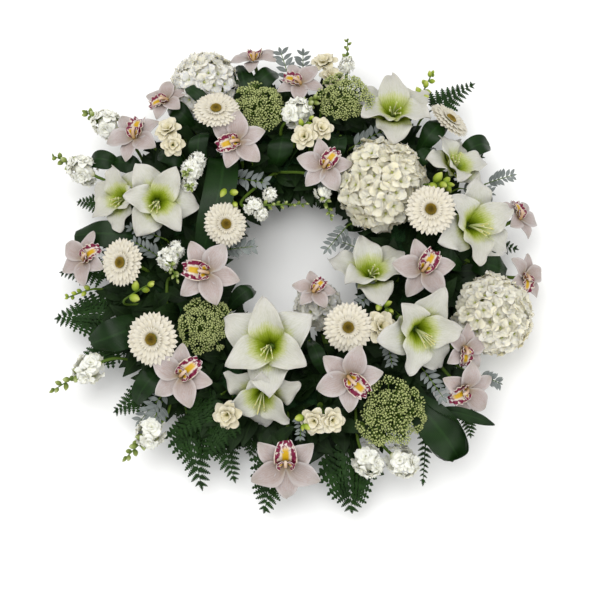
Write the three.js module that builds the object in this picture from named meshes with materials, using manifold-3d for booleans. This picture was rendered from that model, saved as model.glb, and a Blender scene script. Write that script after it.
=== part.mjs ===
// A funeral wreath: a ring of wet floral foam in a shallow ring tray, covered all
// round with cut flowers and foliage whose stems are pushed into the foam.
// Millimetres, +Z up. The wreath lies on its tray, and its opening stands at the middle.
// Each head, spray, stem group or group of fronds is one closed solid of few faces.
import * as THREE from "three";
import { ConvexGeometry } from "three/addons/geometries/ConvexGeometry.js";
import { mergeVertices } from "three/addons/utils/BufferGeometryUtils.js";
import Module from "manifold-3d";

const wasm = await Module();
wasm.setup();

// Foam ring and its tray
const RING_RADIUS = 160;
const FOAM_HALF_WIDTH = 40;
const FOAM_TOP = 62;
const FOAM_SHOULDER = 12;
const RING_SEGMENTS = 24;
const TRAY_HEIGHT = 22;
const TRAY_WALL = 3;
const TRAY_FLARE = 4;
const SEAT_GAP = 0.3;

// Stems in the foam
const FOOT_DEPTH = 18;
const FOOT_MARGIN = 11;
const FOOT_SPACING = 13;
const FOOT_RADIUS = 4.2;
const FOOT_OVERLAP = 3;
const JOINT_HEIGHT = 8;
const SPREAD_ROUNDS = 40;

// Petals and leaves
const BLADE = 0.9;
const LEAF_BLADE = 1;
const PETAL_ROWS = [0.42, 0.8];
const LEAF_STEPS = 6;

// Room between neighbours, and how much a corner or a facet may give
const NEIGHBOUR_GAP = 0.45;
const EDGE_EASE = 0.02;
const FACET_TOLERANCE = 0.1;
const WELD = 1e-4;

const UP = new THREE.Vector3(0, 0, 1);
const { degToRad } = THREE.MathUtils;
const vec = (x, y, z) => new THREE.Vector3(x, y, z);

// A repeatable draw between 0 and 1
function chance(seed, step) {
  const wave = Math.sin(seed * 12.9898 + step * 78.233) * 43758.5453;
  return wave - Math.floor(wave);
}

// Solids from points and faces

function solidOf(points, faces) {
  const vertProperties = new Float32Array(points.flatMap((point) => point.toArray()));
  const triVerts = new Uint32Array(faces.flat());
  return new wasm.Manifold(new wasm.Mesh({ numProp: 3, vertProperties, triVerts }));
}

function solidFromGeometry(geometry) {
  geometry.deleteAttribute("normal");
  geometry.deleteAttribute("uv");
  const merged = mergeVertices(geometry, WELD);
  const position = merged.getAttribute("position");
  const points = [];
  for (let index = 0; index < position.count; index += 1) {
    points.push(new THREE.Vector3().fromBufferAttribute(position, index));
  }
  const faces = [];
  const corners = merged.index.array;
  for (let at = 0; at < corners.length; at += 3) {
    const [a, b, c] = [corners[at], corners[at + 1], corners[at + 2]];
    if (a !== b && b !== c && c !== a) faces.push([a, b, c]);
  }
  return solidOf(points, faces);
}

const fuse = (solids) => wasm.Manifold.union(solids);
const placed = (solid, matrix) => solid.transform(matrix.elements);

// Directed edges that only one face has
function rimEdges(faces) {
  const edges = faces.flatMap(([a, b, c]) => [[a, b], [b, c], [c, a]]);
  const known = new Set(edges.map(([from, to]) => `${from}>${to}`));
  return edges.filter(([from, to]) => !known.has(`${to}>${from}`));
}

// A thin blade: the faces moved half its thickness each way along the normals, and walled in
function slab(points, faces, thickness = BLADE) {
  const halves = points.map(() => vec(0, 0, 0));
  for (const face of faces) {
    const [a, b, c] = face.map((index) => points[index]);
    const normal = b.clone().sub(a).cross(c.clone().sub(a));
    face.forEach((index) => halves[index].add(normal));
  }
  halves.forEach((half) => half.setLength(thickness / 2));
  const upper = points.map((point, index) => point.clone().add(halves[index]));
  const lower = points.map((point, index) => point.clone().sub(halves[index]));
  const below = points.length;
  const closed = faces.flatMap(([a, b, c]) => [[a, b, c], [below + a, below + c, below + b]]);
  for (const [from, to] of rimEdges(faces)) {
    closed.push([from, below + from, below + to], [from, below + to, to]);
  }
  return solidOf([...upper, ...lower], closed);
}

// Faces between two rows of point numbers, which may differ in count
function stripFaces(near, far) {
  const faces = [];
  const nearLast = near.length - 1;
  const farLast = far.length - 1;
  let i = 0;
  let j = 0;
  while (i < nearLast || j < farLast) {
    if (j < farLast && (i >= nearLast || (j + 1) / farLast <= (i + 1) / nearLast)) {
      faces.push([near[i], far[j], far[j + 1]]);
      j += 1;
    } else {
      faces.push([near[i], far[j], near[i + 1]]);
      i += 1;
    }
  }
  return faces;
}

function rowFaces(rows) {
  let count = 0;
  const numbers = rows.map((row) => row.map(() => count++));
  return numbers.slice(1).flatMap((row, order) => stripFaces(numbers[order], row));
}

const blade = (rows, thickness) => slab(rows.flat(), rowFaces(rows), thickness);

// A matrix that stands local +Z along a direction, with local +Y turned to an angle seen from above
function standing(at, direction, angle = 0) {
  const out = direction.clone().normalize();
  const hint = vec(Math.cos(degToRad(angle)), Math.sin(degToRad(angle)), 0);
  const across = hint.clone().cross(out);
  if (across.length() < 0.1) across.copy(UP).cross(out);
  across.normalize();
  const along = out.clone().cross(across);
  return new THREE.Matrix4().makeBasis(across, along, out).setPosition(at);
}

// A round rod of few sides along a curve
function rod(curve, radius, sides, steps) {
  const corners = [];
  for (let side = 0; side < sides; side += 1) {
    const angle = (side * 2 * Math.PI) / sides;
    corners.push(new THREE.Vector2(radius * Math.cos(angle), radius * Math.sin(angle)));
  }
  const section = new THREE.Shape(corners);
  const options = { steps, bevelEnabled: false, extrudePath: curve };
  return solidFromGeometry(new THREE.ExtrudeGeometry(section, options));
}

// Petals

// The middle line of a petal leaves the heart at one angle and bends steadily to another
function petalMiddle({ start, length, lean }, along) {
  const first = degToRad(lean[0]);
  const bend = degToRad(lean[1]) - first;
  const angle = first + bend * along;
  const out = start + (length * (Math.sin(angle) - Math.sin(first))) / bend;
  const up = (length * (Math.cos(first) - Math.cos(angle))) / bend;
  return { out, up, angle };
}

function petalHalfWidth({ width, root }, along) {
  const belly = Math.max(0, Math.sin(Math.PI * along ** 0.8)) ** 0.75;
  return (width / 2) * Math.max(belly, root * (1 - along));
}

function petalPoint(form, along, across) {
  const { out, up, angle } = petalMiddle(form, along);
  const half = petalHalfWidth(form, along);
  const lift = form.cup * half * across * across;
  const point = vec(out - lift * Math.sin(angle), across * half, up + lift * Math.cos(angle));
  return point.applyAxisAngle(UP, degToRad(form.turn));
}

// Petals in one sheet round a centre: each grows from the edge between two notches
function corolla(forms, notch, fine) {
  const points = [vec(0, 0, 0)];
  const faces = [];
  const acrosses = fine ? [-1, 0, 1] : [-1, 1];
  const steps = acrosses.length;
  const size = 2 + PETAL_ROWS.length * steps;
  forms.forEach((form, order) => {
    const before = forms[(order + forms.length - 1) % forms.length].turn - (order === 0 ? 360 : 0);
    const gap = degToRad((before + form.turn) / 2);
    points.push(vec(notch.reach * Math.cos(gap), notch.reach * Math.sin(gap), notch.height));
    const start = points.length - 1;
    for (const along of PETAL_ROWS) {
      for (const across of acrosses) points.push(petalPoint(form, along, across));
    }
    points.push(petalPoint(form, 1, 0));
    const end = order + 1 === forms.length ? 1 : start + size;
    const rows = [[start, end]];
    PETAL_ROWS.forEach((_, row) => {
      rows.push(acrosses.map((_across, step) => start + 1 + row * steps + step));
    });
    rows.push([start + size - 1]);
    faces.push([0, start, end]);
    for (let row = 0; row + 1 < rows.length; row += 1) faces.push(...stripFaces(rows[row], rows[row + 1]));
  });
  return slab(points, faces);
}

// A closed solid through rings of points, from a bottom point to a top point
function loft(rings) {
  const points = rings.flat();
  const faces = [];
  let start = 0;
  for (let ring = 0; ring + 1 < rings.length; ring += 1) {
    const low = rings[ring].length;
    const high = rings[ring + 1].length;
    const next = start + low;
    const lowTurns = low === 1 ? 0 : low;
    const highTurns = high === 1 ? 0 : high;
    let i = 0;
    let j = 0;
    while (i < lowTurns || j < highTurns) {
      const here = start + (i % low);
      const above = next + (j % high);
      if (j < highTurns && (i >= lowTurns || (j + 1) / high <= (i + 1) / low)) {
        faces.push([here, next + ((j + 1) % high), above]);
        j += 1;
      } else {
        faces.push([here, start + ((i + 1) % low), above]);
        i += 1;
      }
    }
    start = next;
  }
  return solidOf(points, faces);
}

function circle(count, radius, height) {
  return Array.from({ length: count }, (_, step) => {
    const angle = (step * 2 * Math.PI) / count;
    return vec(radius * Math.cos(angle), radius * Math.sin(angle), height);
  });
}

// The outline of round-tipped or pointed lobes, with the notches between them
function lobeRing({ lobes, reach, notch, height, notchHeight, tips = 1, turn = 0 }) {
  const shares = tips === 2 ? [0.24, 0.7, 0.97] : [0.5, 1];
  const ring = [];
  for (let lobe = 0; lobe < lobes; lobe += 1) {
    shares.forEach((share, corner) => {
      const inNotch = corner === shares.length - 1;
      const radius = inNotch ? reach * notch : reach;
      const angle = ((lobe + share) * 2 * Math.PI) / lobes + degToRad(turn);
      const level = inNotch ? notchHeight : height;
      ring.push(vec(radius * Math.cos(angle), radius * Math.sin(angle), level));
    });
  }
  return ring;
}

// Faces over scattered directions, as on a ball with a corner in each of them
function ballFaces(directions) {
  const key = (point) => point.toArray().map(Math.fround).join();
  const order = new Map(directions.map((direction, index) => [key(direction), index]));
  const position = new ConvexGeometry(directions).getAttribute("position");
  const faces = [];
  for (let at = 0; at < position.count; at += 3) {
    const corners = [at, at + 1, at + 2].map((index) => {
      return order.get(key(new THREE.Vector3().fromBufferAttribute(position, index)));
    });
    faces.push(corners);
  }
  return faces;
}

// Flowers as relief on a dome: each has a centre, lobes and notches, with valleys between flowers
function relief({ centres, size, lobes, notch, reach, under }) {
  const knobs = [];
  centres.forEach((centre, order) => {
    const frame = standing(vec(0, 0, 0), centre, 360 * chance(order, centres.length));
    knobs.push({ direction: centre.clone(), reach: reach.centre });
    const count = notch > 0 ? lobes * 2 : lobes;
    for (let step = 0; step < count; step += 1) {
      const inNotch = notch > 0 && step % 2 === 1;
      const radius = Math.tan(inNotch ? size * notch : size);
      const angle = (step * 2 * Math.PI) / count;
      const aside = vec(radius * Math.cos(angle), radius * Math.sin(angle), 1).applyMatrix4(frame);
      const height = inNotch ? reach.notch : reach.lobe + 0.06 * (chance(order, step) - 0.5);
      knobs.push({ direction: aside.normalize(), reach: height });
    }
  });
  for (const face of ballFaces([...centres, vec(0, 0, -1)])) {
    if (face.includes(centres.length)) continue;
    const middle = face.reduce((sum, index) => sum.add(centres[index]), vec(0, 0, 0)).normalize();
    const nearest = Math.min(...knobs.map(({ direction }) => direction.angleTo(middle)));
    if (nearest > size * 0.2) knobs.push({ direction: middle, reach: reach.valley });
  }
  for (const direction of circle(6, 1, -0.75)) knobs.push({ direction: direction.normalize(), reach: under });
  knobs.push({ direction: vec(0, 0, -1), reach: under });
  const points = knobs.map(({ direction, reach: far }) => direction.clone().multiplyScalar(far));
  return solidOf(points, ballFaces(knobs.map(({ direction }) => direction)));
}

// Flower heads, each built at the origin and facing +Z

const INNER_STAR_LIFT = 1.6;

// Amaryllis: a star of three outer tepals and one of three inner tepals, from a deep throat
function amaryllis(span) {
  const start = 5;
  const length = (span / 2 - start) / 0.83;
  const outer = { start, length, width: length * 0.74, root: 0.3, cup: 0.02, lean: [56, -20] };
  const inner = { start: 3, length, width: length * 0.6, root: 0.3, cup: 0.2, lean: [70, -8] };
  const star = (form, first, notch) => {
    return corolla([0, 120, 240].map((turn) => ({ ...form, turn: turn + first })), notch, true);
  };
  return fuse([
    star(outer, 30, { reach: 9, height: 6 }),
    star(inner, 90, { reach: 8, height: 12 }).translate([0, 0, INNER_STAR_LIFT]),
  ]);
}

// Orchid: five tepals and a lip on the local +Y side, all in one sheet
// The tepals stay narrow enough to clear each other
const ORCHID_TURNS = [-90, -24, 40, 90, 140, 204];
function orchid(span) {
  const length = (span / 2 - 3) / 0.97;
  const tepal = { start: 3, length, width: length * 0.56, root: 0.35, cup: 0.16, lean: [24, -16] };
  const lip = {
    start: 2, length: length * 0.75, width: length * 0.44, root: 0.6, cup: 0.7, lean: [66, -64],
  };
  const forms = ORCHID_TURNS.map((turn) => ({ ...(turn === 90 ? lip : tepal), turn }));
  return corolla(forms, { reach: length * 0.16, height: length * 0.05 }, false);
}

// Gerbera: two layers of ray petals round a low disc, as one closed form
function gerbera(span) {
  const reach = span / 2;
  const neck = reach * 0.34;
  return loft([
    [vec(0, 0, -3.2)],
    circle(5, 4, -2.6),
    lobeRing({ lobes: 12, reach, notch: 0.52, height: reach * 0.06, notchHeight: 0, tips: 2 }),
    circle(7, neck, 1.4),
    lobeRing({ lobes: 9, reach: reach * 0.76, notch: 0.55, height: reach * 0.22, notchHeight: 3 }),
    circle(7, neck, reach * 0.1),
    circle(7, neck * 0.72, reach * 0.2),
    [vec(0, 0, reach * 0.17)],
  ]);
}

// Directions spread evenly over a dome, from the top down to an elevation
function domeDirections(count, lowest) {
  const golden = Math.PI * (3 - Math.sqrt(5));
  const directions = [];
  for (let step = 0; step < count; step += 1) {
    const height = 1 - ((step + 0.35) / count) * (1 - Math.sin(degToRad(lowest)));
    const reach = Math.sqrt(Math.max(0, 1 - height * height));
    directions.push(vec(reach * Math.cos(step * golden), reach * Math.sin(step * golden), height));
  }
  return directions;
}

// Hydrangea: four-lobed florets, larger than life, in relief over a round head
function hydrangea(radius, florets) {
  const head = relief({
    centres: domeDirections(florets, -14), size: Math.sqrt(2.2 / florets), lobes: 4, notch: 0.55,
    reach: { centre: 0.95, lobe: 1.04, notch: 0.95, valley: 0.78 }, under: 0.55,
  });
  return head.scale([radius, radius, radius]);
}

// Ammi: a shallow lacy umbel, as clumps of tiny florets in relief
function ammi(radius, clumps) {
  const head = relief({
    centres: domeDirections(clumps, 2), size: Math.sqrt(1.5 / clumps), lobes: 4, notch: 0,
    reach: { centre: 1.06, lobe: 1, notch: 1, valley: 0.72 }, under: 0.5,
  });
  return head.scale([radius, radius, radius * 0.5]);
}

// Freesia: a lobed cup with a smaller one inside
function freesia(span) {
  const reach = span / 2;
  return loft([
    [vec(0, 0, -span * 0.6)],
    lobeRing({ lobes: 6, reach, notch: 0.62, height: 0, notchHeight: -span * 0.08 }),
    circle(5, reach * 0.42, -span * 0.12),
    lobeRing({ lobes: 4, reach: reach * 0.62, notch: 0.6, height: span * 0.12, notchHeight: span * 0.06 }),
    [vec(0, 0, -span * 0.02)],
  ]);
}

// A spray of buds on their stalk, as one closed form: full where a bud is, thin between buds
function budRow(axis, { count, size, stalk }) {
  const rings = [[axis.getPoint(0)]];
  for (let order = 0; order < count; order += 1) {
    const grade = size * (1 - (0.5 * order) / count);
    const hand = order % 2 === 0 ? 1 : -1;
    for (const [part, radius, aside] of [[0.15, stalk, 0], [0.55, grade, 0.75], [0.95, stalk, 0.25]]) {
      const share = Math.min(1, (order + part) / count);
      const frame = standing(axis.getPoint(share), axis.getTangent(share));
      const sway = hand * aside * grade;
      rings.push(circle(3, radius, 0).map((point) => point.setX(point.x + sway).applyMatrix4(frame)));
    }
  }
  rings.push([axis.getPoint(1).addScaledVector(axis.getTangent(1), size * 0.6)]);
  return loft(rings);
}

// Where stems stand in the foam

const FOOT_INNER = RING_RADIUS - FOAM_HALF_WIDTH + FOOT_MARGIN;
const FOOT_OUTER = RING_RADIUS + FOAM_HALF_WIDTH - FOOT_MARGIN;
const SIDE_FOOT_REACH = RING_RADIUS + FOAM_HALF_WIDTH - FOOT_DEPTH;
const SIDE_FOOT_HEIGHT = 35;

const ringPoint = (radius, angle, height) => vec(radius * Math.cos(angle), radius * Math.sin(angle), height);

// A foot goes down into the top of the foam, or inwards into its outer side
function footUnder(point, inSide, override) {
  const angle = override ? degToRad(override[1]) : Math.atan2(point.y, point.x);
  if (inSide) {
    const at = ringPoint(SIDE_FOOT_REACH, angle, SIDE_FOOT_HEIGHT);
    return { at, out: ringPoint(1, angle, 0), inSide };
  }
  const near = THREE.MathUtils.clamp(Math.hypot(point.x, point.y) * 0.92, FOOT_INNER, FOOT_OUTER);
  const radius = override ? override[0] : near;
  return { at: ringPoint(radius, angle, FOAM_TOP - FOOT_DEPTH), out: UP.clone(), inSide };
}

// Feet that stand too close together are pushed apart along the ring
function spreadFeet(feet) {
  for (let round = 0; round < SPREAD_ROUNDS; round += 1) {
    for (let one = 0; one < feet.length; one += 1) {
      for (let two = one + 1; two < feet.length; two += 1) {
        const away = feet[two].at.clone().sub(feet[one].at);
        const short = FOOT_SPACING - away.length();
        if (short > 0) {
          away.setLength(short / 2);
          feet[one].at.sub(away);
          feet[two].at.add(away);
        }
      }
    }
    for (const foot of feet) {
      const [least, most] = foot.inSide ? [SIDE_FOOT_REACH, SIDE_FOOT_REACH] : [FOOT_INNER, FOOT_OUTER];
      const reach = Math.hypot(foot.at.x, foot.at.y);
      const angle = Math.atan2(foot.at.y, foot.at.x);
      foot.at.copy(ringPoint(THREE.MathUtils.clamp(reach, least, most), angle, foot.at.z));
      if (foot.inSide) foot.out.copy(ringPoint(1, angle, 0));
    }
  }
}

// A stem from the back of a head, curving round to enter the foam straight
function stem(from, direction, foot, radius, sides, steps) {
  const pull = from.distanceTo(foot.at) * 0.42;
  const leave = from.clone().addScaledVector(direction, pull);
  const arrive = foot.at.clone().addScaledVector(foot.out, pull);
  return rod(new THREE.CubicBezierCurve3(from, leave, arrive, foot.at), radius, sides, steps);
}

// One member's stem runs right into the foam. Several meet just outside it, on one straight foot.
function stemsTo(foot, members) {
  if (members.length === 1) return members[0].stem(foot);
  const joint = foot.at.clone().addScaledVector(foot.out, FOOT_DEPTH + JOINT_HEIGHT);
  const end = joint.clone().addScaledVector(foot.out, FOOT_OVERLAP);
  const straight = rod(new THREE.LineCurve3(foot.at, end), FOOT_RADIUS, 3, 1);
  const arriving = members.map((member) => {
    const out = member.at.clone().sub(joint).normalize().addScaledVector(foot.out, 0.35).normalize();
    return member.stem({ at: joint, out });
  });
  return fuse([straight, ...arriving]);
}

// Members of a node: each gives its head solid and a stem down to the node's foot

const facing = ([slopeX, slopeY]) => vec(slopeX, slopeY, 1).normalize();

function headMember(head, { at, tilt, angle = 90 }, stemOf) {
  const centre = vec(...at);
  const out = facing(tilt);
  const from = centre.clone().addScaledVector(out, -stemOf.below);
  return {
    at: centre,
    head: placed(head, standing(centre, out, angle)),
    stem: (foot) => stem(from, out.clone().negate(), foot, stemOf.radius, stemOf.sides, stemOf.steps),
  };
}

const AMARYLLIS_STEM = { below: -INNER_STAR_LIFT, radius: 4, sides: 4, steps: 2 };
const ORCHID_STEM = { below: 0, radius: 2.4, sides: 3, steps: 2 };
const GERBERA_STEM = { below: 1, radius: 2.3, sides: 3, steps: 2 };
const SMALL_STEM = { radius: 2, sides: 3, steps: 2 };

const amaryllisMember = (row) => headMember(amaryllis(row.span), row, AMARYLLIS_STEM);
const orchidMember = (row) => headMember(orchid(row.span), row, ORCHID_STEM);
const gerberaMember = (row) => headMember(gerbera(row.span), row, GERBERA_STEM);

function hydrangeaMember(row) {
  const below = row.radius * 0.5;
  return headMember(hydrangea(row.radius, row.florets), row, { below, radius: 4, sides: 4, steps: 2 });
}

function ammiMember(row) {
  const below = row.radius * 0.2;
  return headMember(ammi(row.radius, row.clumps), row, { ...SMALL_STEM, below });
}

function freesiaMember(row) {
  return headMember(freesia(row.span), row, { ...SMALL_STEM, below: row.span * 0.4 });
}

// A member whose head follows a line from base to tip, with its stem leaving backwards
function lineMember(axis, head, sink, radius) {
  const back = axis.getTangent(0).negate();
  const inside = axis.getPoint(0).addScaledVector(back, -sink);
  return { at: axis.getPoint(0), head, stem: (foot) => stem(inside, back, foot, radius, 3, 2) };
}

function bowed(from, to, rise) {
  const middle = vec(...from).lerp(vec(...to), 0.5).addScaledVector(UP, rise);
  return new THREE.QuadraticBezierCurve3(vec(...from), middle, vec(...to));
}

const budMember = ({ at, to, count, size }) => {
  const axis = bowed(at, to, 5);
  return lineMember(axis, budRow(axis, { count, size: size * 0.36, stalk: 1.6 }), 1, 1.6);
};

// Stock: ruffled open florets round the lower spike, then buds to the tip
function stockMember({ at, to, size = 17, stretch = 1.5, buds = 3, florets = 7 }) {
  const axis = bowed(at, to, buds > 0 ? 6 : 0);
  const cluster = relief({
    centres: domeDirections(florets, -32), size: Math.sqrt(2.1 / florets), lobes: 4, notch: 0,
    reach: { centre: 1.02, lobe: 1, notch: 1, valley: 0.74 }, under: 0.75,
  }).scale([size, size, size * stretch]);
  const reach = (size * stretch) / axis.getLength();
  const share = buds > 0 ? reach * 0.6 : 0.5;
  const parts = [placed(cluster, standing(axis.getPoint(share), axis.getTangent(share)))];
  if (buds > 0) {
    const bare = bowed(axis.getPoint(reach * 1.35).toArray(), to, 2);
    parts.push(budRow(bare, { count: buds, size: size * 0.34, stalk: 1.4 }));
  }
  return lineMember(axis, fuse(parts), 6, 2);
}

// Leaves

// A cut frond: leaflets on both sides of a rib, in one thin arched blade
function frond({ root, tip, rise, leaflets, width, sweep, blunt, droop }) {
  const from = vec(...root);
  const to = vec(...tip);
  const middle = from.clone().lerp(to, 0.5).addScaledVector(UP, rise);
  const rib = new THREE.QuadraticBezierCurve3(from, middle, to);
  const points = [];
  const faces = [];
  const length = rib.getLength();
  for (let order = 0; order <= leaflets; order += 1) {
    const share = (order / (leaflets + 0.6)) ** 1.08;
    const here = rib.getPoint(share);
    const tangent = rib.getTangent(share);
    const side = UP.clone().cross(tangent).normalize();
    const half = 0.9 - 0.4 * share;
    points.push(here.clone().addScaledVector(side, -half), here.clone().addScaledVector(side, half));
  }
  for (let order = 0; order < leaflets; order += 1) {
    const [right, left, nextRight, nextLeft] = [0, 1, 2, 3].map((step) => order * 2 + step);
    faces.push([right, nextRight, nextLeft], [right, nextLeft, left]);
    if (order === 0) continue;
    const share = ((order + 0.5) / leaflets) ** 1.05;
    const tangent = rib.getTangent(share);
    const side = UP.clone().cross(tangent).normalize();
    const reach = (width / 2) * Math.min(1, 0.55 + 1.6 * share) * (1 - share * share) ** 0.8 + 2;
    const forward = tangent.clone().multiplyScalar(reach * sweep + length / leaflets / 2);
    for (const hand of [-1, 1]) {
      const base = points[hand < 0 ? right : left].clone();
      const out = side.clone().multiplyScalar(hand * reach).addScaledVector(UP, -droop * reach);
      const end = points.push(base.clone().add(out).add(forward)) - 1;
      const [near, far] = hand < 0 ? [right, nextRight] : [left, nextLeft];
      const outline = [near, end, far];
      if (blunt > 0) {
        const shoulder = base.clone().addScaledVector(out, 0.55 + blunt).addScaledVector(forward, 0.2);
        outline.splice(1, 0, points.push(shoulder) - 1);
      }
      if (hand > 0) outline.reverse();
      for (let corner = 1; corner + 1 < outline.length; corner += 1) {
        faces.push([outline[0], outline[corner], outline[corner + 1]]);
      }
    }
  }
  const last = points.push(to.clone()) - 1;
  faces.push([leaflets * 2, last, leaflets * 2 + 1]);
  return lineMember(rib, slab(points, faces, LEAF_BLADE), 1.2, 2.2);
}

const FERN = { rise: 9, leaflets: 7, sweep: 0.42, blunt: 0, droop: 0.12 };
const SPRIG = { rise: 5, leaflets: 4, sweep: 0.5, blunt: 0.3, droop: -0.08 };
const fernMember = (row) => frond({ ...FERN, ...row });
const sprigMember = (row) => frond({ ...SPRIG, ...row });

// Aspidistra: a broad leaf folded over in a loop, with its root and tip tucked in
function loopMember({ path, side, width, fold = 0.12 }) {
  const curve = new THREE.CatmullRomCurve3(path.map((point) => vec(...point)));
  const across = vec(...side).normalize();
  const rows = [];
  for (let step = 0; step <= LEAF_STEPS; step += 1) {
    const along = step / LEAF_STEPS;
    const centre = curve.getPoint(along);
    const half = Math.max(0.9, (width / 2) * Math.sin(Math.PI * (0.02 + 0.9 * along)) ** 0.6);
    const normal = curve.getTangent(along).cross(across).normalize();
    const row = [-1, 0, 1].map((share) => {
      const lift = fold * half * share * share;
      return centre.clone().addScaledVector(across, share * half).addScaledVector(normal, lift);
    });
    rows.push(row);
  }
  return lineMember(curve, blade(rows, LEAF_BLADE), 1.2, 2.4);
}

// Colours, as seen in daylight
const FINISH = {
  tray: { color: "#2b2d2b", roughness: 0.55 },
  foam: { color: "#2f5a32", roughness: 0.95 },
  amaryllis: { color: "#e9e8dc", roughness: 0.55 },
  orchid: { color: "#d9c8bd", roughness: 0.5 },
  gerbera: { color: "#efe6d2", roughness: 0.6 },
  hydrangea: { color: "#e6e2cc", roughness: 0.7 },
  ammi: { color: "#8f9a55", roughness: 0.8 },
  freesia: { color: "#ebe1c0", roughness: 0.55 },
  stock: { color: "#e2e3d2", roughness: 0.7 },
  aspidistra: { color: "#1f3c1c", roughness: 0.4 },
  fern: { color: "#2d5420", roughness: 0.6 },
  sprig: { color: "#7d8780", roughness: 0.75 },
};

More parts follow.
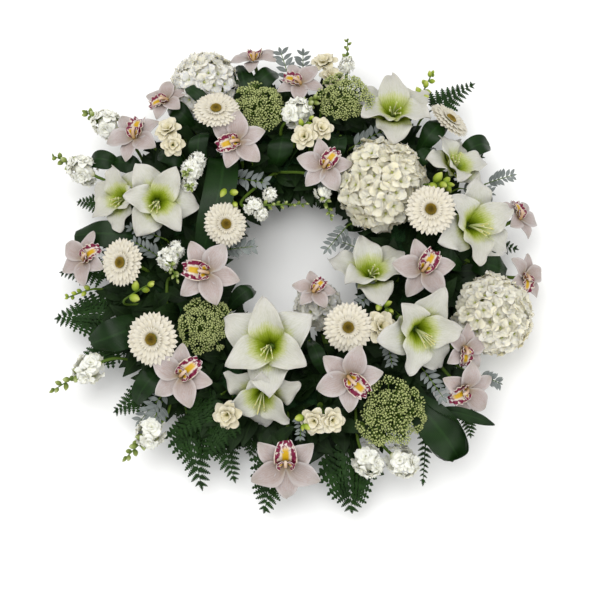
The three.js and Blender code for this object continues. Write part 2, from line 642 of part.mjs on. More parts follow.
// The layout, in millimetres from the middle of the opening: where the heart of each head is,
// the slopes of the direction it faces, the angle of its upper or lip side seen from above,
// and its span. Rows of one node share a foot in the foam.
const LAYOUT = {
  hydrangea: {
    hydrangea_right: [{ at: [110, 97, 100], tilt: [0.1, 0], radius: 55, florets: 17 }],
    hydrangea_far_right: [{ at: [250, -69, 72], tilt: [0.5, -0.2], radius: 48, florets: 14 }],
    hydrangea_top: [{ at: [-121, 244, 70], tilt: [-0.3, 0.5], radius: 42, florets: 12 }],
    hydrangea_inner: [{ at: [26, -62, 88], tilt: [0, 0.3], radius: 24, florets: 6 }],
  },
  amaryllis: {
    amaryllis_front: [
      { at: [-32, -121, 116], tilt: [-0.19, -0.07], angle: 90, span: 124 },
      { at: [-42, -168, 88], tilt: [-0.3, -1.3], angle: 80, span: 104 },
    ],
    amaryllis_left: [
      { at: [-181, 74, 104], tilt: [0.22, -0.2], angle: 60, span: 104 },
      { at: [-222, 82, 86], tilt: [-0.7, 0.05], angle: 100, span: 94 },
    ],
    amaryllis_right: [
      { at: [219, 44, 96], tilt: [0.6, -0.2], angle: 150, span: 118 },
      { at: [203, 123, 84], tilt: [0.65, 0.55], angle: 20, span: 98 },
    ],
    amaryllis_centre: [
      { at: [94, -27, 94], tilt: [0.05, 0.5], angle: 100, span: 108 },
      { at: [148, -96, 112], tilt: [0.5, -0.6], angle: 130, span: 116 },
    ],
    amaryllis_top: [{ at: [125, 194, 90], tilt: [0.1, 0.45], angle: 90, span: 114 }],
  },
  orchid: {
    orchid_left_top: [
      { at: [-212, 166, 96], tilt: [-0.35, 0.2], angle: 75, span: 80 },
      { at: [-172, 216, 96], tilt: [-0.3, 0.4], angle: 200, span: 66 },
    ],
    orchid_inner_top: [{ at: [-77, 146, 134], tilt: [0, -0.1], angle: 200, span: 78 }],
    orchid_top: [
      { at: [3, 235, 110], tilt: [0, 0.3], angle: 160, span: 68 },
      { at: [-57, 279, 82], tilt: [-0.2, 0.9], angle: 90, span: 70 },
    ],
    orchid_inner_right: [{ at: [36, 114, 130], tilt: [-0.1, -0.2], angle: 50, span: 74 }],
    orchid_inner_left: [{ at: [-114, -29, 134], tilt: [0.05, -0.25], angle: 170, span: 88 }],
    orchid_left: [{ at: [-272, 1, 90], tilt: [-0.6, 0], angle: 20, span: 76 }],
    orchid_inner_low: [{ at: [22, -50, 122], tilt: [0.1, 0.15], angle: 50, span: 58 }],
    orchid_centre_right: [{ at: [160, -22, 122], tilt: [0.1, -0.2], angle: 60, span: 84 }],
    orchid_low_left: [{ at: [-143, -160, 127], tilt: [-0.15, -0.3], angle: 40, span: 84 }],
    orchid_front: [{ at: [65, -165, 138], tilt: [0, -0.4], angle: 315, span: 88 }],
    orchid_bottom: [{ at: [-14, -264, 88], tilt: [0, -0.9], angle: 90, span: 98 }],
    orchid_low_right: [
      { at: [213, -170, 88], tilt: [0.5, -0.5], angle: 200, span: 78 },
      { at: [212, -119, 98], tilt: [0.6, -0.3], angle: 270, span: 66 },
    ],
    orchid_right: [
      { at: [296, -14, 62], tilt: [0.9, 0], angle: 260, span: 68 },
      { at: [290, 64, 68], tilt: [0.9, 0.3], angle: 110, span: 66 },
    ],
  },
  ammi: {
    ammi_top: [{ at: [-50, 198, 112], tilt: [0, 0.1], radius: 36, clumps: 12 }],
    ammi_top_right: [{ at: [62, 211, 116], tilt: [0, 0.2], radius: 36, clumps: 12 }],
    ammi_left: [{ at: [-114, -92, 106], tilt: [-0.1, -0.2], radius: 34, clumps: 11 }],
    ammi_low_right: [{ at: [117, -203, 104], tilt: [0.2, -0.5], radius: 44, clumps: 15 }],
  },
  gerbera: {
    gerbera_top_left: [{ at: [-104, 186, 140], tilt: [0, 0.4], span: 62 }],
    gerbera_left: [{ at: [-221, -14, 126], tilt: [-0.6, -0.2], span: 64 }],
    gerbera_low_left: [{ at: [-179, -117, 140], tilt: [-0.35, -0.3], span: 70 }],
    gerbera_inner: [{ at: [-92, 39, 118], tilt: [0.4, -0.1], span: 60 }],
    gerbera_front: [{ at: [64, -102, 140], tilt: [0, -0.25], span: 64 }],
    gerbera_right: [{ at: [169, 49, 148], tilt: [0, -0.1], span: 66 }],
    gerbera_top_right: [{ at: [200, 190, 92], tilt: [0.9, 0.8], span: 62 }],
  },
  freesia: {
    freesia_top_left: [
      { at: [-168, 168, 124], tilt: [-0.3, 0.3], span: 32 },
      { at: [-160, 145, 124], tilt: [0.1, -0.3], span: 28 },
    ],
    freesia_top: [
      { at: [9, 151, 140], tilt: [-0.2, -0.1], span: 30 },
      { at: [32, 163, 138], tilt: [0.3, 0.1], span: 30 },
    ],
    freesia_far_top: [
      { at: [36, 276, 92], tilt: [-0.2, 0.6], span: 32 },
      { at: [46, 252, 98], tilt: [0.3, 0.2], span: 30 },
    ],
    freesia_centre: [{ at: [106, -100, 138], tilt: [0.3, 0], span: 38 }],
    freesia_bottom: [
      { at: [21, -217, 118], tilt: [-0.4, -0.5], span: 32 },
      { at: [45, -216, 120], tilt: [0.4, -0.4], span: 30 },
    ],
  },
  freesiaBuds: {
    freesia_buds_right: [{ at: [168, 92, 122], to: [192, 90, 128], count: 3, size: 18 }],
  },
  stock: {
    stock_left: [
      { at: [-266, 122, 68], to: [-322, 149, 70], florets: 6 },
      { at: [-236, 182, 74], to: [-280, 208, 76], florets: 6 },
    ],
    stock_top: [{ at: [66, 262, 82], to: [68, 310, 84], florets: 4, size: 9 }],
    stock_low_left: [
      { at: [-250, -130, 70], to: [-311, -165, 62], florets: 4 },
      { at: [-172, -210, 74], to: [-216, -253, 64], florets: 4 },
    ],
    stock_opening: [
      { at: [-66, 66, 110], to: [12, 66, 120], florets: 4, size: 10, buds: 5 },
      { at: [30, 94, 112], to: [44, 50, 110], florets: 2, size: 10 },
    ],
    stock_inner_left: [{ at: [-168, 2, 112], to: [-150, -40, 140], florets: 5, size: 12 }],
    stock_inner_top: [{ at: [-132, 116, 112], to: [-142, 100, 142], florets: 5, size: 12 }],
    stock_upper: [{ at: [-14, 182, 112], to: [26, 208, 126], florets: 5 }],
    stock_bottom: [
      { at: [84, -250, 72], to: [92, -264, 76], florets: 5, buds: 0 },
      { at: [122, -252, 72], to: [138, -264, 72], florets: 5, buds: 0 },
    ],
  },
  aspidistra: {
    aspidistra_inner_left: [
      {
        path: [[-120, 122, 66], [-98, 136, 98], [-98, 94, 116], [-110, 46, 108], [-122, 8, 88]],
        side: [1, 0.1, 0.1], width: 44,
      },
    ],
    aspidistra_top: [
      {
        path: [[-32, 130, 66], [-24, 140, 90], [-20, 160, 97], [-16, 178, 84]],
        side: [1, 0, 0.1], width: 34,
      },
      {
        path: [[-60, 182, 68], [-66, 225, 84], [-72, 254, 88], [-78, 276, 74]],
        side: [1, 0.2, 0.1], width: 30,
      },
    ],
    aspidistra_left: [
      {
        path: [[-184, 30, 66], [-210, 32, 86], [-254, 36, 90], [-290, 38, 72]],
        side: [0.1, 1, 0.1], width: 36,
      },
      {
        path: [[-178, -72, 66], [-206, -88, 84], [-238, -102, 90], [-264, -106, 70]],
        side: [-0.45, 0.85, 0.2], width: 44,
      },
    ],
    aspidistra_low_right: [
      {
        path: [
          [140, -138, 66], [166, -190, 88], [202, -216, 98],
          [212, -246, 80], [182, -254, 66], [158, -224, 72],
        ],
        side: [0.25, -0.4, 0.88], width: 36,
      },
    ],
  },
  sprig: {
    sprig_top: [
      { root: [-6, 238, 84], tip: [-24, 294, 94], width: 30 },
      { root: [8, 240, 82], tip: [8, 294, 90], width: 30 },
    ],
    sprig_inner_left: [
      { root: [-88, 112, 92], tip: [-34, 98, 104], width: 32 },
      { root: [-96, 14, 86], tip: [-50, 16, 98], width: 30 },
    ],
    sprig_inner_right: [
      { root: [96, 10, 84], tip: [46, 26, 98], width: 28 },
      { root: [104, -40, 96], tip: [78, -66, 116], width: 26 },
    ],
  },
  fern: {
    fern_left: [
      { root: [-236, -64, 66], tip: [-316, -68, 50], width: 56 },
      { root: [-226, -98, 62], tip: [-284, -134, 46], width: 46 },
      { root: [-244, -10, 68], tip: [-310, -8, 60], width: 34, leaflets: 5 },
    ],
    fern_low_left: [
      { root: [-140, -196, 64], tip: [-120, -292, 44], width: 60 },
      { root: [-178, -160, 60], tip: [-236, -192, 48], width: 40, leaflets: 6 },
    ],
    fern_bottom: [
      { root: [62, -232, 62], tip: [70, -322, 40], width: 78 },
      { root: [-24, -240, 60], tip: [-42, -322, 40], width: 58 },
    ],
    fern_top_right: [
      { root: [176, 214, 62], tip: [240, 258, 56], width: 38 },
      { root: [190, 150, 60], tip: [250, 152, 56], width: 40, leaflets: 6 },
    ],
  },
};

// Feet given by hand, as a radius and an angle round the ring, where the nearest one would cross others
const FEET = {
  sprig_inner_left: [131, 138],
};

// Sprays that stand in the outer side of the foam, as the ferns do
const IN_SIDE = ["stock_left", "stock_low_left", "stock_top"];

const MEMBER = {
  hydrangea: hydrangeaMember,
  amaryllis: amaryllisMember,
  gerbera: gerberaMember,
  orchid: orchidMember,
  ammi: ammiMember,
  freesia: freesiaMember,
  freesiaBuds: budMember,
  stock: stockMember,
  aspidistra: loopMember,
  sprig: sprigMember,
  fern: fernMember,
};

function plantNodes() {
  const plants = [];
  for (const [kind, groups] of Object.entries(LAYOUT)) {
    for (const [name, rows] of Object.entries(groups)) {
      const members = rows.map(MEMBER[kind]);
      const middle = members.reduce((sum, { at }) => sum.add(at), vec(0, 0, 0)).divideScalar(members.length);
      const finish = FINISH[kind] ?? FINISH.freesia;
      const foot = footUnder(middle, kind === "fern" || IN_SIDE.includes(name), FEET[name]);
      plants.push({ name, finish, members, foot });
    }
  }
  for (const inSide of [false, true]) {
    spreadFeet(plants.map(({ foot }) => foot).filter((foot) => foot.inSide === inSide));
  }
  for (const plant of plants) {
    plant.head = fuse(plant.members.map(({ head }) => head));
    plant.stem = stemsTo(plant.foot, plant.members);
  }
  return plants;
}

// Foam ring and tray

function ringSolid(outline) {
  const closed = [...outline, outline[0]].map(([out, up]) => new THREE.Vector2(out, up));
  return solidFromGeometry(new THREE.LatheGeometry(closed, RING_SEGMENTS).rotateX(Math.PI / 2));
}

function foamRing() {
  const inner = RING_RADIUS - FOAM_HALF_WIDTH;
  const outer = RING_RADIUS + FOAM_HALF_WIDTH;
  const bottom = TRAY_WALL + SEAT_GAP;
  const shoulder = FOAM_TOP - FOAM_SHOULDER;
  return ringSolid([
    [inner, bottom], [outer, bottom], [outer, shoulder], [outer - FOAM_SHOULDER, FOAM_TOP],
    [inner + FOAM_SHOULDER, FOAM_TOP], [inner, shoulder],
  ]);
}

function tray() {
  const inner = RING_RADIUS - FOAM_HALF_WIDTH - SEAT_GAP;
  const outer = RING_RADIUS + FOAM_HALF_WIDTH + SEAT_GAP;
  return ringSolid([
    [inner - TRAY_WALL, 0], [outer + TRAY_WALL, 0],
    [outer + TRAY_WALL + TRAY_FLARE, TRAY_HEIGHT], [outer + TRAY_FLARE, TRAY_HEIGHT],
    [outer, TRAY_WALL], [inner, TRAY_WALL],
    [inner - TRAY_FLARE, TRAY_HEIGHT], [inner - TRAY_WALL - TRAY_FLARE, TRAY_HEIGHT],
  ]);
}

// Room between neighbours

// A copy whose surface stands out all round: each corner moves so that it lies the given
// distance off the planes of its faces, or as near to that as a sharp edge allows
function grown(solid, distance = NEIGHBOUR_GAP) {
  const mesh = solid.getMesh();
  const points = [];
  for (let index = 0; index < mesh.numVert; index += 1) {
    points.push(vec(...mesh.vertProperties.slice(index * mesh.numProp, index * mesh.numProp + 3)));
  }
  const faces = [];
  for (let at = 0; at < mesh.triVerts.length; at += 3) faces.push([...mesh.triVerts.slice(at, at + 3)]);
  const sums = points.map(() => ({ matrix: new Array(9).fill(0), aim: vec(0, 0, 0), weight: 0 }));
  for (const face of faces) {
    const [a, b, c] = face.map((index) => points[index]);
    const normal = b.clone().sub(a).cross(c.clone().sub(a)).normalize();
    const n = normal.toArray();
    face.forEach((corner, order) => {
      const before = points[face[(order + 2) % 3]].clone().sub(points[corner]);
      const after = points[face[(order + 1) % 3]].clone().sub(points[corner]);
      const weight = before.angleTo(after);
      const sum = sums[corner];
      sum.weight += weight;
      sum.aim.addScaledVector(normal, weight * distance);
      for (let cell = 0; cell < 9; cell += 1) {
        sum.matrix[cell] += weight * n[cell % 3] * n[Math.floor(cell / 3)];
      }
    });
  }
  const moved = points.map((point, index) => {
    const { matrix, aim, weight } = sums[index];
    for (const cell of [0, 4, 8]) matrix[cell] += weight * EDGE_EASE;
    return point.clone().add(aim.applyMatrix3(new THREE.Matrix3().fromArray(matrix).invert()));
  });
  return solidOf(moved, faces);
}

function boxesMeet(one, two) {
  return [0, 1, 2].every((axis) => one.min[axis] < two.max[axis] && two.min[axis] < one.max[axis]);
}

// The solid less every neighbour that comes near it
function clearOf(solid, neighbours) {
  let rest = solid;
  for (const neighbour of neighbours) {
    if (boxesMeet(rest.boundingBox(), neighbour.box)) rest = rest.subtract(neighbour.solid);
  }
  return rest;
}

const neighbourOf = (solid) => {
  const room = grown(solid);
  return { solid: room, box: room.boundingBox() };
};

function largestPiece(solid) {
  const pieces = solid.decompose();
  return pieces.reduce((best, piece) => (piece.volume() > best.volume() ? piece : best));
}

// Stems keep their whole length. Heads give way to stems and to the heads before them.
function settle(plants, base) {
  const stems = [];
  for (const plant of plants) {
    plant.stem = clearOf(plant.stem, stems);
    stems.push(neighbourOf(plant.stem));
  }
  const heads = base.map(neighbourOf);
  plants.forEach((plant, order) => {
    const others = stems.filter((_, index) => index !== order);
    plant.head = clearOf(plant.head, [...heads, ...others]);
    heads.push(neighbourOf(plant.head));
  });
  for (const plant of plants) {
    plant.solid = largestPiece(fuse([plant.head, plant.stem]).simplify(FACET_TOLERANCE));
  }
  return stems;
}

// The scene graph

function meshOf(name, solid, finish) {
  const { vertProperties, triVerts } = solid.getMesh();
  const geometry = new THREE.BufferGeometry();
  geometry.setAttribute("position", new THREE.BufferAttribute(vertProperties, 3));
  geometry.setIndex(new THREE.BufferAttribute(triVerts, 1));
  geometry.computeVertexNormals();
  const mesh = new THREE.Mesh(geometry, new THREE.MeshStandardMaterial({ ...finish, metalness: 0 }));
  mesh.name = name;
  return mesh;
}

const wreath = new THREE.Group();
const foam = foamRing();
const trayRing = tray();
const plants = plantNodes();
const stems = settle(plants, [foam, trayRing]);
wreath.add(meshOf("tray", trayRing, FINISH.tray));
wreath.add(meshOf("foam_ring", clearOf(foam, stems).simplify(FACET_TOLERANCE), FINISH.foam));
for (const { name, solid, finish } of plants) wreath.add(meshOf(name, solid, finish));

// The origin is on the floor under the middle of the whole box
const bounds = new THREE.Box3().setFromObject(wreath);
const middle = bounds.getCenter(new THREE.Vector3());
wreath.position.set(-middle.x, -middle.y, -bounds.min.z);

export default wreath;
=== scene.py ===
import math

import bpy
import numpy as np
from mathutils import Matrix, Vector


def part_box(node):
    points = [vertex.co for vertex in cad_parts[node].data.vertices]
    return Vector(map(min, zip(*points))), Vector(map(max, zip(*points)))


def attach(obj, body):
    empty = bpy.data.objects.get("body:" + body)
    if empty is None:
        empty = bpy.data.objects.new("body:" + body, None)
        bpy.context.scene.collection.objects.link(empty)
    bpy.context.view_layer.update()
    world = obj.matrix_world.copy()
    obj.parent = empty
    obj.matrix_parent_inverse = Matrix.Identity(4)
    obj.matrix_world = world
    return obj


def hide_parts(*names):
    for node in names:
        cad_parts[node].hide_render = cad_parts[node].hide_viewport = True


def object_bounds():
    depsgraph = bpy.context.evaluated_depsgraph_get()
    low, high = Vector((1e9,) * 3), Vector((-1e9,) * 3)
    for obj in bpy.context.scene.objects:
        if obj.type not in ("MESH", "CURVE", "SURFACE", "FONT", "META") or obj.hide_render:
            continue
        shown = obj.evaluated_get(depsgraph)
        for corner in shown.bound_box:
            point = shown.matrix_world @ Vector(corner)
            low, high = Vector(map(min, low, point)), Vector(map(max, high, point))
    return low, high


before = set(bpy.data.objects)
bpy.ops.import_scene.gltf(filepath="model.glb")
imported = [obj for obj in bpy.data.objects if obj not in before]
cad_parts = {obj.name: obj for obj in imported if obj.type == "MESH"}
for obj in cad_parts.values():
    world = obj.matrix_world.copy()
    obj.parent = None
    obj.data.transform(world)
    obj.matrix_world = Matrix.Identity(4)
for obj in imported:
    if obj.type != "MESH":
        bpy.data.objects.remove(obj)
CAD_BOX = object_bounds()

MM = 0.001
TRAY_LOW, TRAY_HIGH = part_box("tray")
RING_MIDDLE = np.array([(TRAY_LOW.x + TRAY_HIGH.x) / 2, (TRAY_LOW.y + TRAY_HIGH.y) / 2, 0]) / MM
UP = np.array([0.0, 0.0, 1.0])
GOLDEN_ANGLE = math.pi * (3 - math.sqrt(5))
EDGE_ROOM = 5.0

# Foam ring and tray, as in the part
RING_RADIUS = 160
FOAM_HALF_WIDTH = 40
FOAM_TOP = 62
FOAM_SHOULDER = 12
TRAY_HEIGHT = 22
TRAY_WALL = 3
TRAY_FLARE = 4
SEAT_GAP = 0.3
FOOT_DEPTH = 18
JOINT_HEIGHT = 8
FOOT_RADIUS = 4

# What each number of a row in the tables below is. at is the heart of a head, tilt the slopes of
# the direction it faces, span and radius its size, and angle its upper or lip side seen from
# above; at and to are the ends of a spray, root and tip those of a sprig or frond.
FIELDS = {
    "hydrangea": ("at", "tilt", "radius", "cream"),
    "amaryllis": ("at", "tilt", "span", "angle"),
    "orchid": ("at", "tilt", "span", "angle"),
    "ammi": ("at", "tilt", "radius"),
    "gerbera": ("at", "tilt", "span"),
    "freesia": ("at", "tilt", "span"),
    "freesia_buds": ("at", "to", "count", "size"),
    "stock": ("at", "to", "florets", "size", "buds"),
    "aspidistra": ("side", "width", "path", "reach"),
    "sprig": ("root", "tip", "width"),
    "fern": ("root", "tip", "width"),
}

# The layout, as in the part: the kinds of plant, and the heads or leaves of each node
LAYOUT_ROWS = {
    "hydrangea": {
        "right": [((110, 97, 100), (0.1, 0), 55, 0.6)],
        "far_right": [((250, -69, 72), (0.5, -0.2), 48, 0.4)],
        "top": [((-121, 244, 70), (-0.3, 0.5), 42)],
        "inner": [((26, -62, 88), (0, 0.3), 24)],
    },
    "amaryllis": {
        "front": [((-32, -121, 116), (-0.19, -0.07), 124), ((-42, -168, 88), (-0.3, -1.3), 104, 80)],
        "left": [((-181, 74, 104), (0.22, -0.2), 104, 60), ((-222, 82, 86), (-0.7, 0.05), 94, 100)],
        "right": [((219, 44, 96), (0.6, -0.2), 118, 150), ((203, 123, 84), (0.65, 0.55), 98, 20)],
        "centre": [((94, -27, 94), (0.05, 0.5), 108, 100), ((148, -96, 112), (0.5, -0.6), 116, 130)],
        "top": [((125, 194, 90), (0.1, 0.45), 114)],
    },
    "orchid": {
        "left_top": [((-212, 166, 96), (-0.35, 0.2), 80, 75), ((-172, 216, 96), (-0.3, 0.4), 66, 200)],
        "inner_top": [((-77, 146, 134), (0, -0.1), 78, 200)],
        "top": [((3, 235, 110), (0, 0.3), 68, 160), ((-57, 279, 82), (-0.2, 0.9), 70)],
        "inner_right": [((36, 114, 130), (-0.1, -0.2), 74, 50)],
        "inner_left": [((-114, -29, 134), (0.05, -0.25), 88, 170)],
        "left": [((-272, 1, 90), (-0.6, 0), 76, 20)],
        "inner_low": [((22, -50, 122), (0.1, 0.15), 58, 50)],
        "centre_right": [((160, -22, 122), (0.1, -0.2), 84, 60)],
        "low_left": [((-143, -160, 127), (-0.15, -0.3), 84, 40)],
        "front": [((65, -165, 138), (0, -0.4), 88, 315)],
        "bottom": [((-14, -264, 88), (0, -0.9), 98)],
        "low_right": [((213, -170, 88), (0.5, -0.5), 78, 200), ((212, -119, 98), (0.6, -0.3), 66, 270)],
        "right": [((296, -14, 62), (0.9, 0), 68, 260), ((290, 64, 68), (0.9, 0.3), 66, 110)],
    },
    "ammi": {
        "top": [((-50, 198, 112), (0, 0.1), 36)],
        "top_right": [((62, 211, 116), (0, 0.2), 36)],
        "left": [((-114, -92, 106), (-0.1, -0.2), 34)],
        "low_right": [((117, -203, 104), (0.2, -0.5), 44)],
    },
    "gerbera": {
        "top_left": [((-104, 186, 140), (0, 0.4), 62)],
        "left": [((-221, -14, 126), (-0.6, -0.2), 64)],
        "low_left": [((-179, -117, 140), (-0.35, -0.3), 70)],
        "inner": [((-92, 39, 118), (0.4, -0.1), 60)],
        "front": [((64, -102, 140), (0, -0.25), 64)],
        "right": [((169, 49, 148), (0, -0.1), 66)],
        "top_right": [((200, 190, 92), (0.9, 0.8), 62)],
    },
    "freesia": {
        "top_left": [((-168, 168, 124), (-0.3, 0.3), 32), ((-160, 145, 124), (0.1, -0.3), 28)],
        "top": [((9, 151, 140), (-0.2, -0.1), 30), ((32, 163, 138), (0.3, 0.1), 30)],
        "far_top": [((36, 276, 92), (-0.2, 0.6), 32), ((46, 252, 98), (0.3, 0.2), 30)],
        "centre": [((106, -100, 138), (0.3, 0), 38)],
        "bottom": [((21, -217, 118), (-0.4, -0.5), 32), ((45, -216, 120), (0.4, -0.4), 30)],
    },
    "freesia_buds": {
        "right": [((168, 92, 122), (192, 90, 128), 3, 18)],
    },
    "stock": {
        "left": [((-266, 122, 68), (-322, 149, 70), 6), ((-236, 182, 74), (-280, 208, 76), 6)],
        "top": [((66, 262, 82), (68, 310, 84), 4, 9)],
        "low_left": [((-250, -130, 70), (-311, -165, 62), 4), ((-172, -210, 74), (-216, -253, 64), 4)],
        "opening": [((-66, 66, 110), (12, 66, 120), 4, 10, 5), ((30, 94, 112), (44, 50, 110), 2, 10)],
        "inner_left": [((-168, 2, 112), (-150, -40, 140), 5, 12)],
        "inner_top": [((-132, 116, 112), (-142, 100, 142), 5, 12)],
        "upper": [((-14, 182, 112), (26, 208, 126), 5)],
        "bottom": [
            ((84, -250, 72), (92, -264, 76), 5, 17, 0), ((122, -252, 72), (138, -264, 72), 5, 17, 0),
        ],
    },
    "aspidistra": {
        "inner_left": [
            ((1, 0.1, 0.1), 44, ((-120, 122, 66), (-98, 136, 98), (-98, 94, 116), (-110, 46, 108),
             (-122, 8, 88))),
        ],
        "top": [
            ((1, 0, 0.1), 34, ((-32, 130, 66), (-24, 140, 90), (-20, 160, 97), (-16, 178, 84))),
            ((1, 0.2, 0.1), 30, ((-60, 182, 68), (-66, 225, 84), (-72, 254, 88), (-78, 276, 74))),
        ],
        "left": [
            ((0.1, 1, 0.1), 36, ((-184, 30, 66), (-210, 32, 86), (-254, 36, 90), (-290, 38, 72))),
            ((-0.45, 0.85, 0.2), 44, ((-178, -72, 66), (-206, -88, 84), (-238, -102, 90),
             (-264, -106, 70))),
        ],
        "low_right": [
            ((0.25, -0.4, 0.88), 36, ((140, -138, 66), (166, -190, 88), (202, -216, 98), (212, -246, 80),
             (182, -254, 66), (158, -224, 72))),
        ],
    },
    "sprig": {
        "top": [((-6, 238, 84), (-24, 294, 94), 30), ((8, 240, 82), (8, 294, 90), 30)],
        "inner_left": [((-88, 112, 92), (-34, 98, 104), 32), ((-96, 14, 86), (-50, 16, 98), 30)],
        "inner_right": [((96, 10, 84), (46, 26, 98), 28), ((104, -40, 96), (78, -66, 116), 26)],
    },
    "fern": {
        "left": [
            ((-236, -64, 66), (-316, -68, 50), 56), ((-226, -98, 62), (-284, -134, 46), 46),
            ((-244, -10, 68), (-310, -8, 60), 34),
        ],
        "low_left": [((-140, -196, 64), (-120, -292, 44), 60), ((-178, -160, 60), (-236, -192, 48), 40)],
        "bottom": [((62, -232, 62), (70, -322, 40), 78), ((-24, -240, 60), (-42, -322, 40), 58)],
        "top_right": [((176, 214, 62), (240, 258, 56), 38), ((190, 150, 60), (250, 152, 56), 40)],
    },
}

# Small things too fine for the part: more sprays and leaves between the blooms
EXTRA_ROWS = {
    "sprig": [
        ((70, 150, 98), (120, 172, 114), 30), ((248, 110, 70), (288, 120, 80), 26),
        ((-176, 2, 94), (-214, 22, 108), 26), ((158, -142, 90), (188, -190, 102), 28),
        ((-166, -168, 72), (-204, -214, 72), 30), ((6, -204, 92), (4, -240, 106), 22),
        ((12, 118, 110), (34, 88, 120), 20), ((66, 44, 100), (34, 2, 110), 26),
        ((212, 98, 88), (258, 86, 96), 28), ((114, -110, 104), (120, -148, 112), 24),
        ((-172, -184, 74), (-190, -230, 72), 32), ((-170, 26, 98), (-222, 42, 102), 24),
        ((74, -28, 100), (106, -48, 112), 22), ((-62, 134, 100), (-100, 142, 112), 22),
        ((232, -148, 74), (262, -160, 72), 24),
    ],
    "freesia_buds": [
        ((-218, -60, 116), (-188, -42, 122), 2, 16), ((-92, 96, 110), (-80, 68, 116), 2, 15),
        ((0, 156, 128), (16, 176, 134), 2, 12), ((10, -202, 106), (8, -220, 114), 1, 14),
        ((102, -64, 118), (116, -76, 124), 2, 13), ((160, 218, 84), (180, 262, 78), 4, 13),
        ((-262, -34, 74), (-296, -44, 68), 3, 10),
    ],
    "aspidistra": [
        ((1, 0.2, 0.1), 26, ((-118, 118, 84), (-128, 138, 116), (-126, 158, 122), (-122, 172, 96))),
        ((0.5, 0.8, 0.1), 18, ((-112, 200, 100), (-124, 213, 115), (-136, 223, 116),
         (-147, 229, 108)), 0.96),
        ((0.7, -0.7, 0.1), 30, ((158, 148, 82), (171, 163, 104), (184, 178, 104), (196, 190, 86))),
        ((0.1, 1, 0.1), 36, ((222, 4, 64), (238, -3, 86), (256, -8, 86), (272, -12, 66))),
        ((0.6, -0.8, 0.1), 28, ((-62, 232, 68), (-50, 246, 90), (-38, 256, 92), (-26, 264, 76))),
        ((-0.3, 1, 0.1), 28, ((214, 150, 62), (228, 156, 80), (242, 162, 80), (256, 166, 64))),
        ((0.2, 1, 0.1), 24, ((-142, 126, 94), (-154, 132, 108), (-168, 137, 108), (-182, 140, 94))),
        ((0.3, 1, 0.1), 26, ((-196, 122, 72), (-212, 128, 88), (-228, 134, 88), (-244, 138, 74))),
        ((0.6, 0.8, 0.1), 26, ((-136, 186, 76), (-148, 196, 94), (-160, 206, 94), (-170, 214, 80))),
        ((0.1, 1, 0.1), 26, ((-226, 132, 64), (-246, 138, 82), (-262, 141, 82), (-276, 140, 66))),
        ((1, 0, 0.1), 24, ((57, 168, 94), (54, 156, 116), (52, 142, 118), (50, 130, 98))),
        ((0.6, -0.7, 0.1), 24, ((-92, -66, 74), (-76, -52, 96), (-62, -42, 98), (-56, -36, 80))),
        ((0.6, -0.7, 0.1), 22, ((150, 120, 92), (160, 130, 110), (172, 140, 110), (184, 150, 88))),
        ((1, 0.3, 0), 20, ((16, -110, 100), (22, -124, 122), (28, -140, 124), (34, -152, 102))),
        ((0.7, -0.6, 0.1), 30, ((-166, -140, 66), (-182, -152, 84), (-194, -166, 82), (-206, -182, 62))),
        ((0.2, 1, 0.1), 26, ((172, 8, 82), (184, 0, 102), (198, -4, 102), (212, -8, 84))),
        ((0.2, 1, 0.3), 16, ((170, -196, 86), (198, -200, 94), (226, -207, 90), (250, -214, 80)), 0.97),
        ((0.81, 0.58, 0.1), 50, ((140, -172, 82), (164, -204, 96), (188, -234, 92), (203, -254, 76))),
    ],
    "fern": [
        ((-96, -176, 86), (-152, -226, 68), 46), ((-80, -196, 84), (-118, -254, 60), 42),
        ((-238, 84, 60), (-292, 92, 50), 30), ((226, 34, 62), (292, 26, 50), 34),
        ((-100, -212, 62), (-78, -282, 42), 40), ((-130, -198, 62), (-150, -238, 44), 34),
        ((164, -218, 66), (160, -286, 44), 15), ((214, -176, 66), (222, -226, 52), 26),
    ],
    "stock": [
        ((-152, 14, 104), (-160, -16, 130), 4, 10), ((-126, 128, 106), (-130, 122, 132), 4, 10, 0),
        ((-140, 98, 108), (-136, 82, 134), 4, 9), ((-34, 86, 106), (-36, 76, 120), 3, 8, 0),
        ((-46, 62, 104), (-46, 50, 118), 3, 8, 0),
    ],
    "freesia": [((-88, -204, 92), (-0.3, -0.5), 34)],
}
EXTRA_NAMES = {
    "sprig": "small_sprigs", "freesia_buds": "small_buds", "aspidistra": "small_leaves",
    "fern": "small_ferns", "freesia": "small_freesia", "stock": "small_stock",
}


def named(kind, rows):
    """Rows of a table as dictionaries."""
    return [dict(zip(FIELDS[kind], row)) for row in rows]


LAYOUT = {
    kind: {f"{kind}_{part}": named(kind, rows) for part, rows in parts.items()}
    for kind, parts in LAYOUT_ROWS.items()
}
EXTRAS = {kind: named(kind, rows) for kind, rows in EXTRA_ROWS.items()}


# Vectors and frames


def unit(vectors):
    length = np.linalg.norm(vectors, axis=-1, keepdims=True)
    return vectors / np.maximum(length, 1e-9)


def kept_inside(points):
    """Points eased back so that none lies outside the CAD model's box."""
    low, high = (np.array(corner) / MM - RING_MIDDLE for corner in CAD_BOX)
    over = np.maximum(0, points - (high - EDGE_ROOM))
    under = np.maximum(0, (low + EDGE_ROOM) - points)
    under[..., 2] = 0
    eased = points - over + EDGE_ROOM * (1 - np.exp(-over / EDGE_ROOM))
    eased = eased + under - EDGE_ROOM * (1 - np.exp(-under / EDGE_ROOM))
    eased[..., 2] = np.maximum(eased[..., 2], 0)
    return eased


def draws(name):
    """Seeded random draws for one piece."""
    return np.random.default_rng(sum((place + 1) * ord(letter) for place, letter in enumerate(name)))


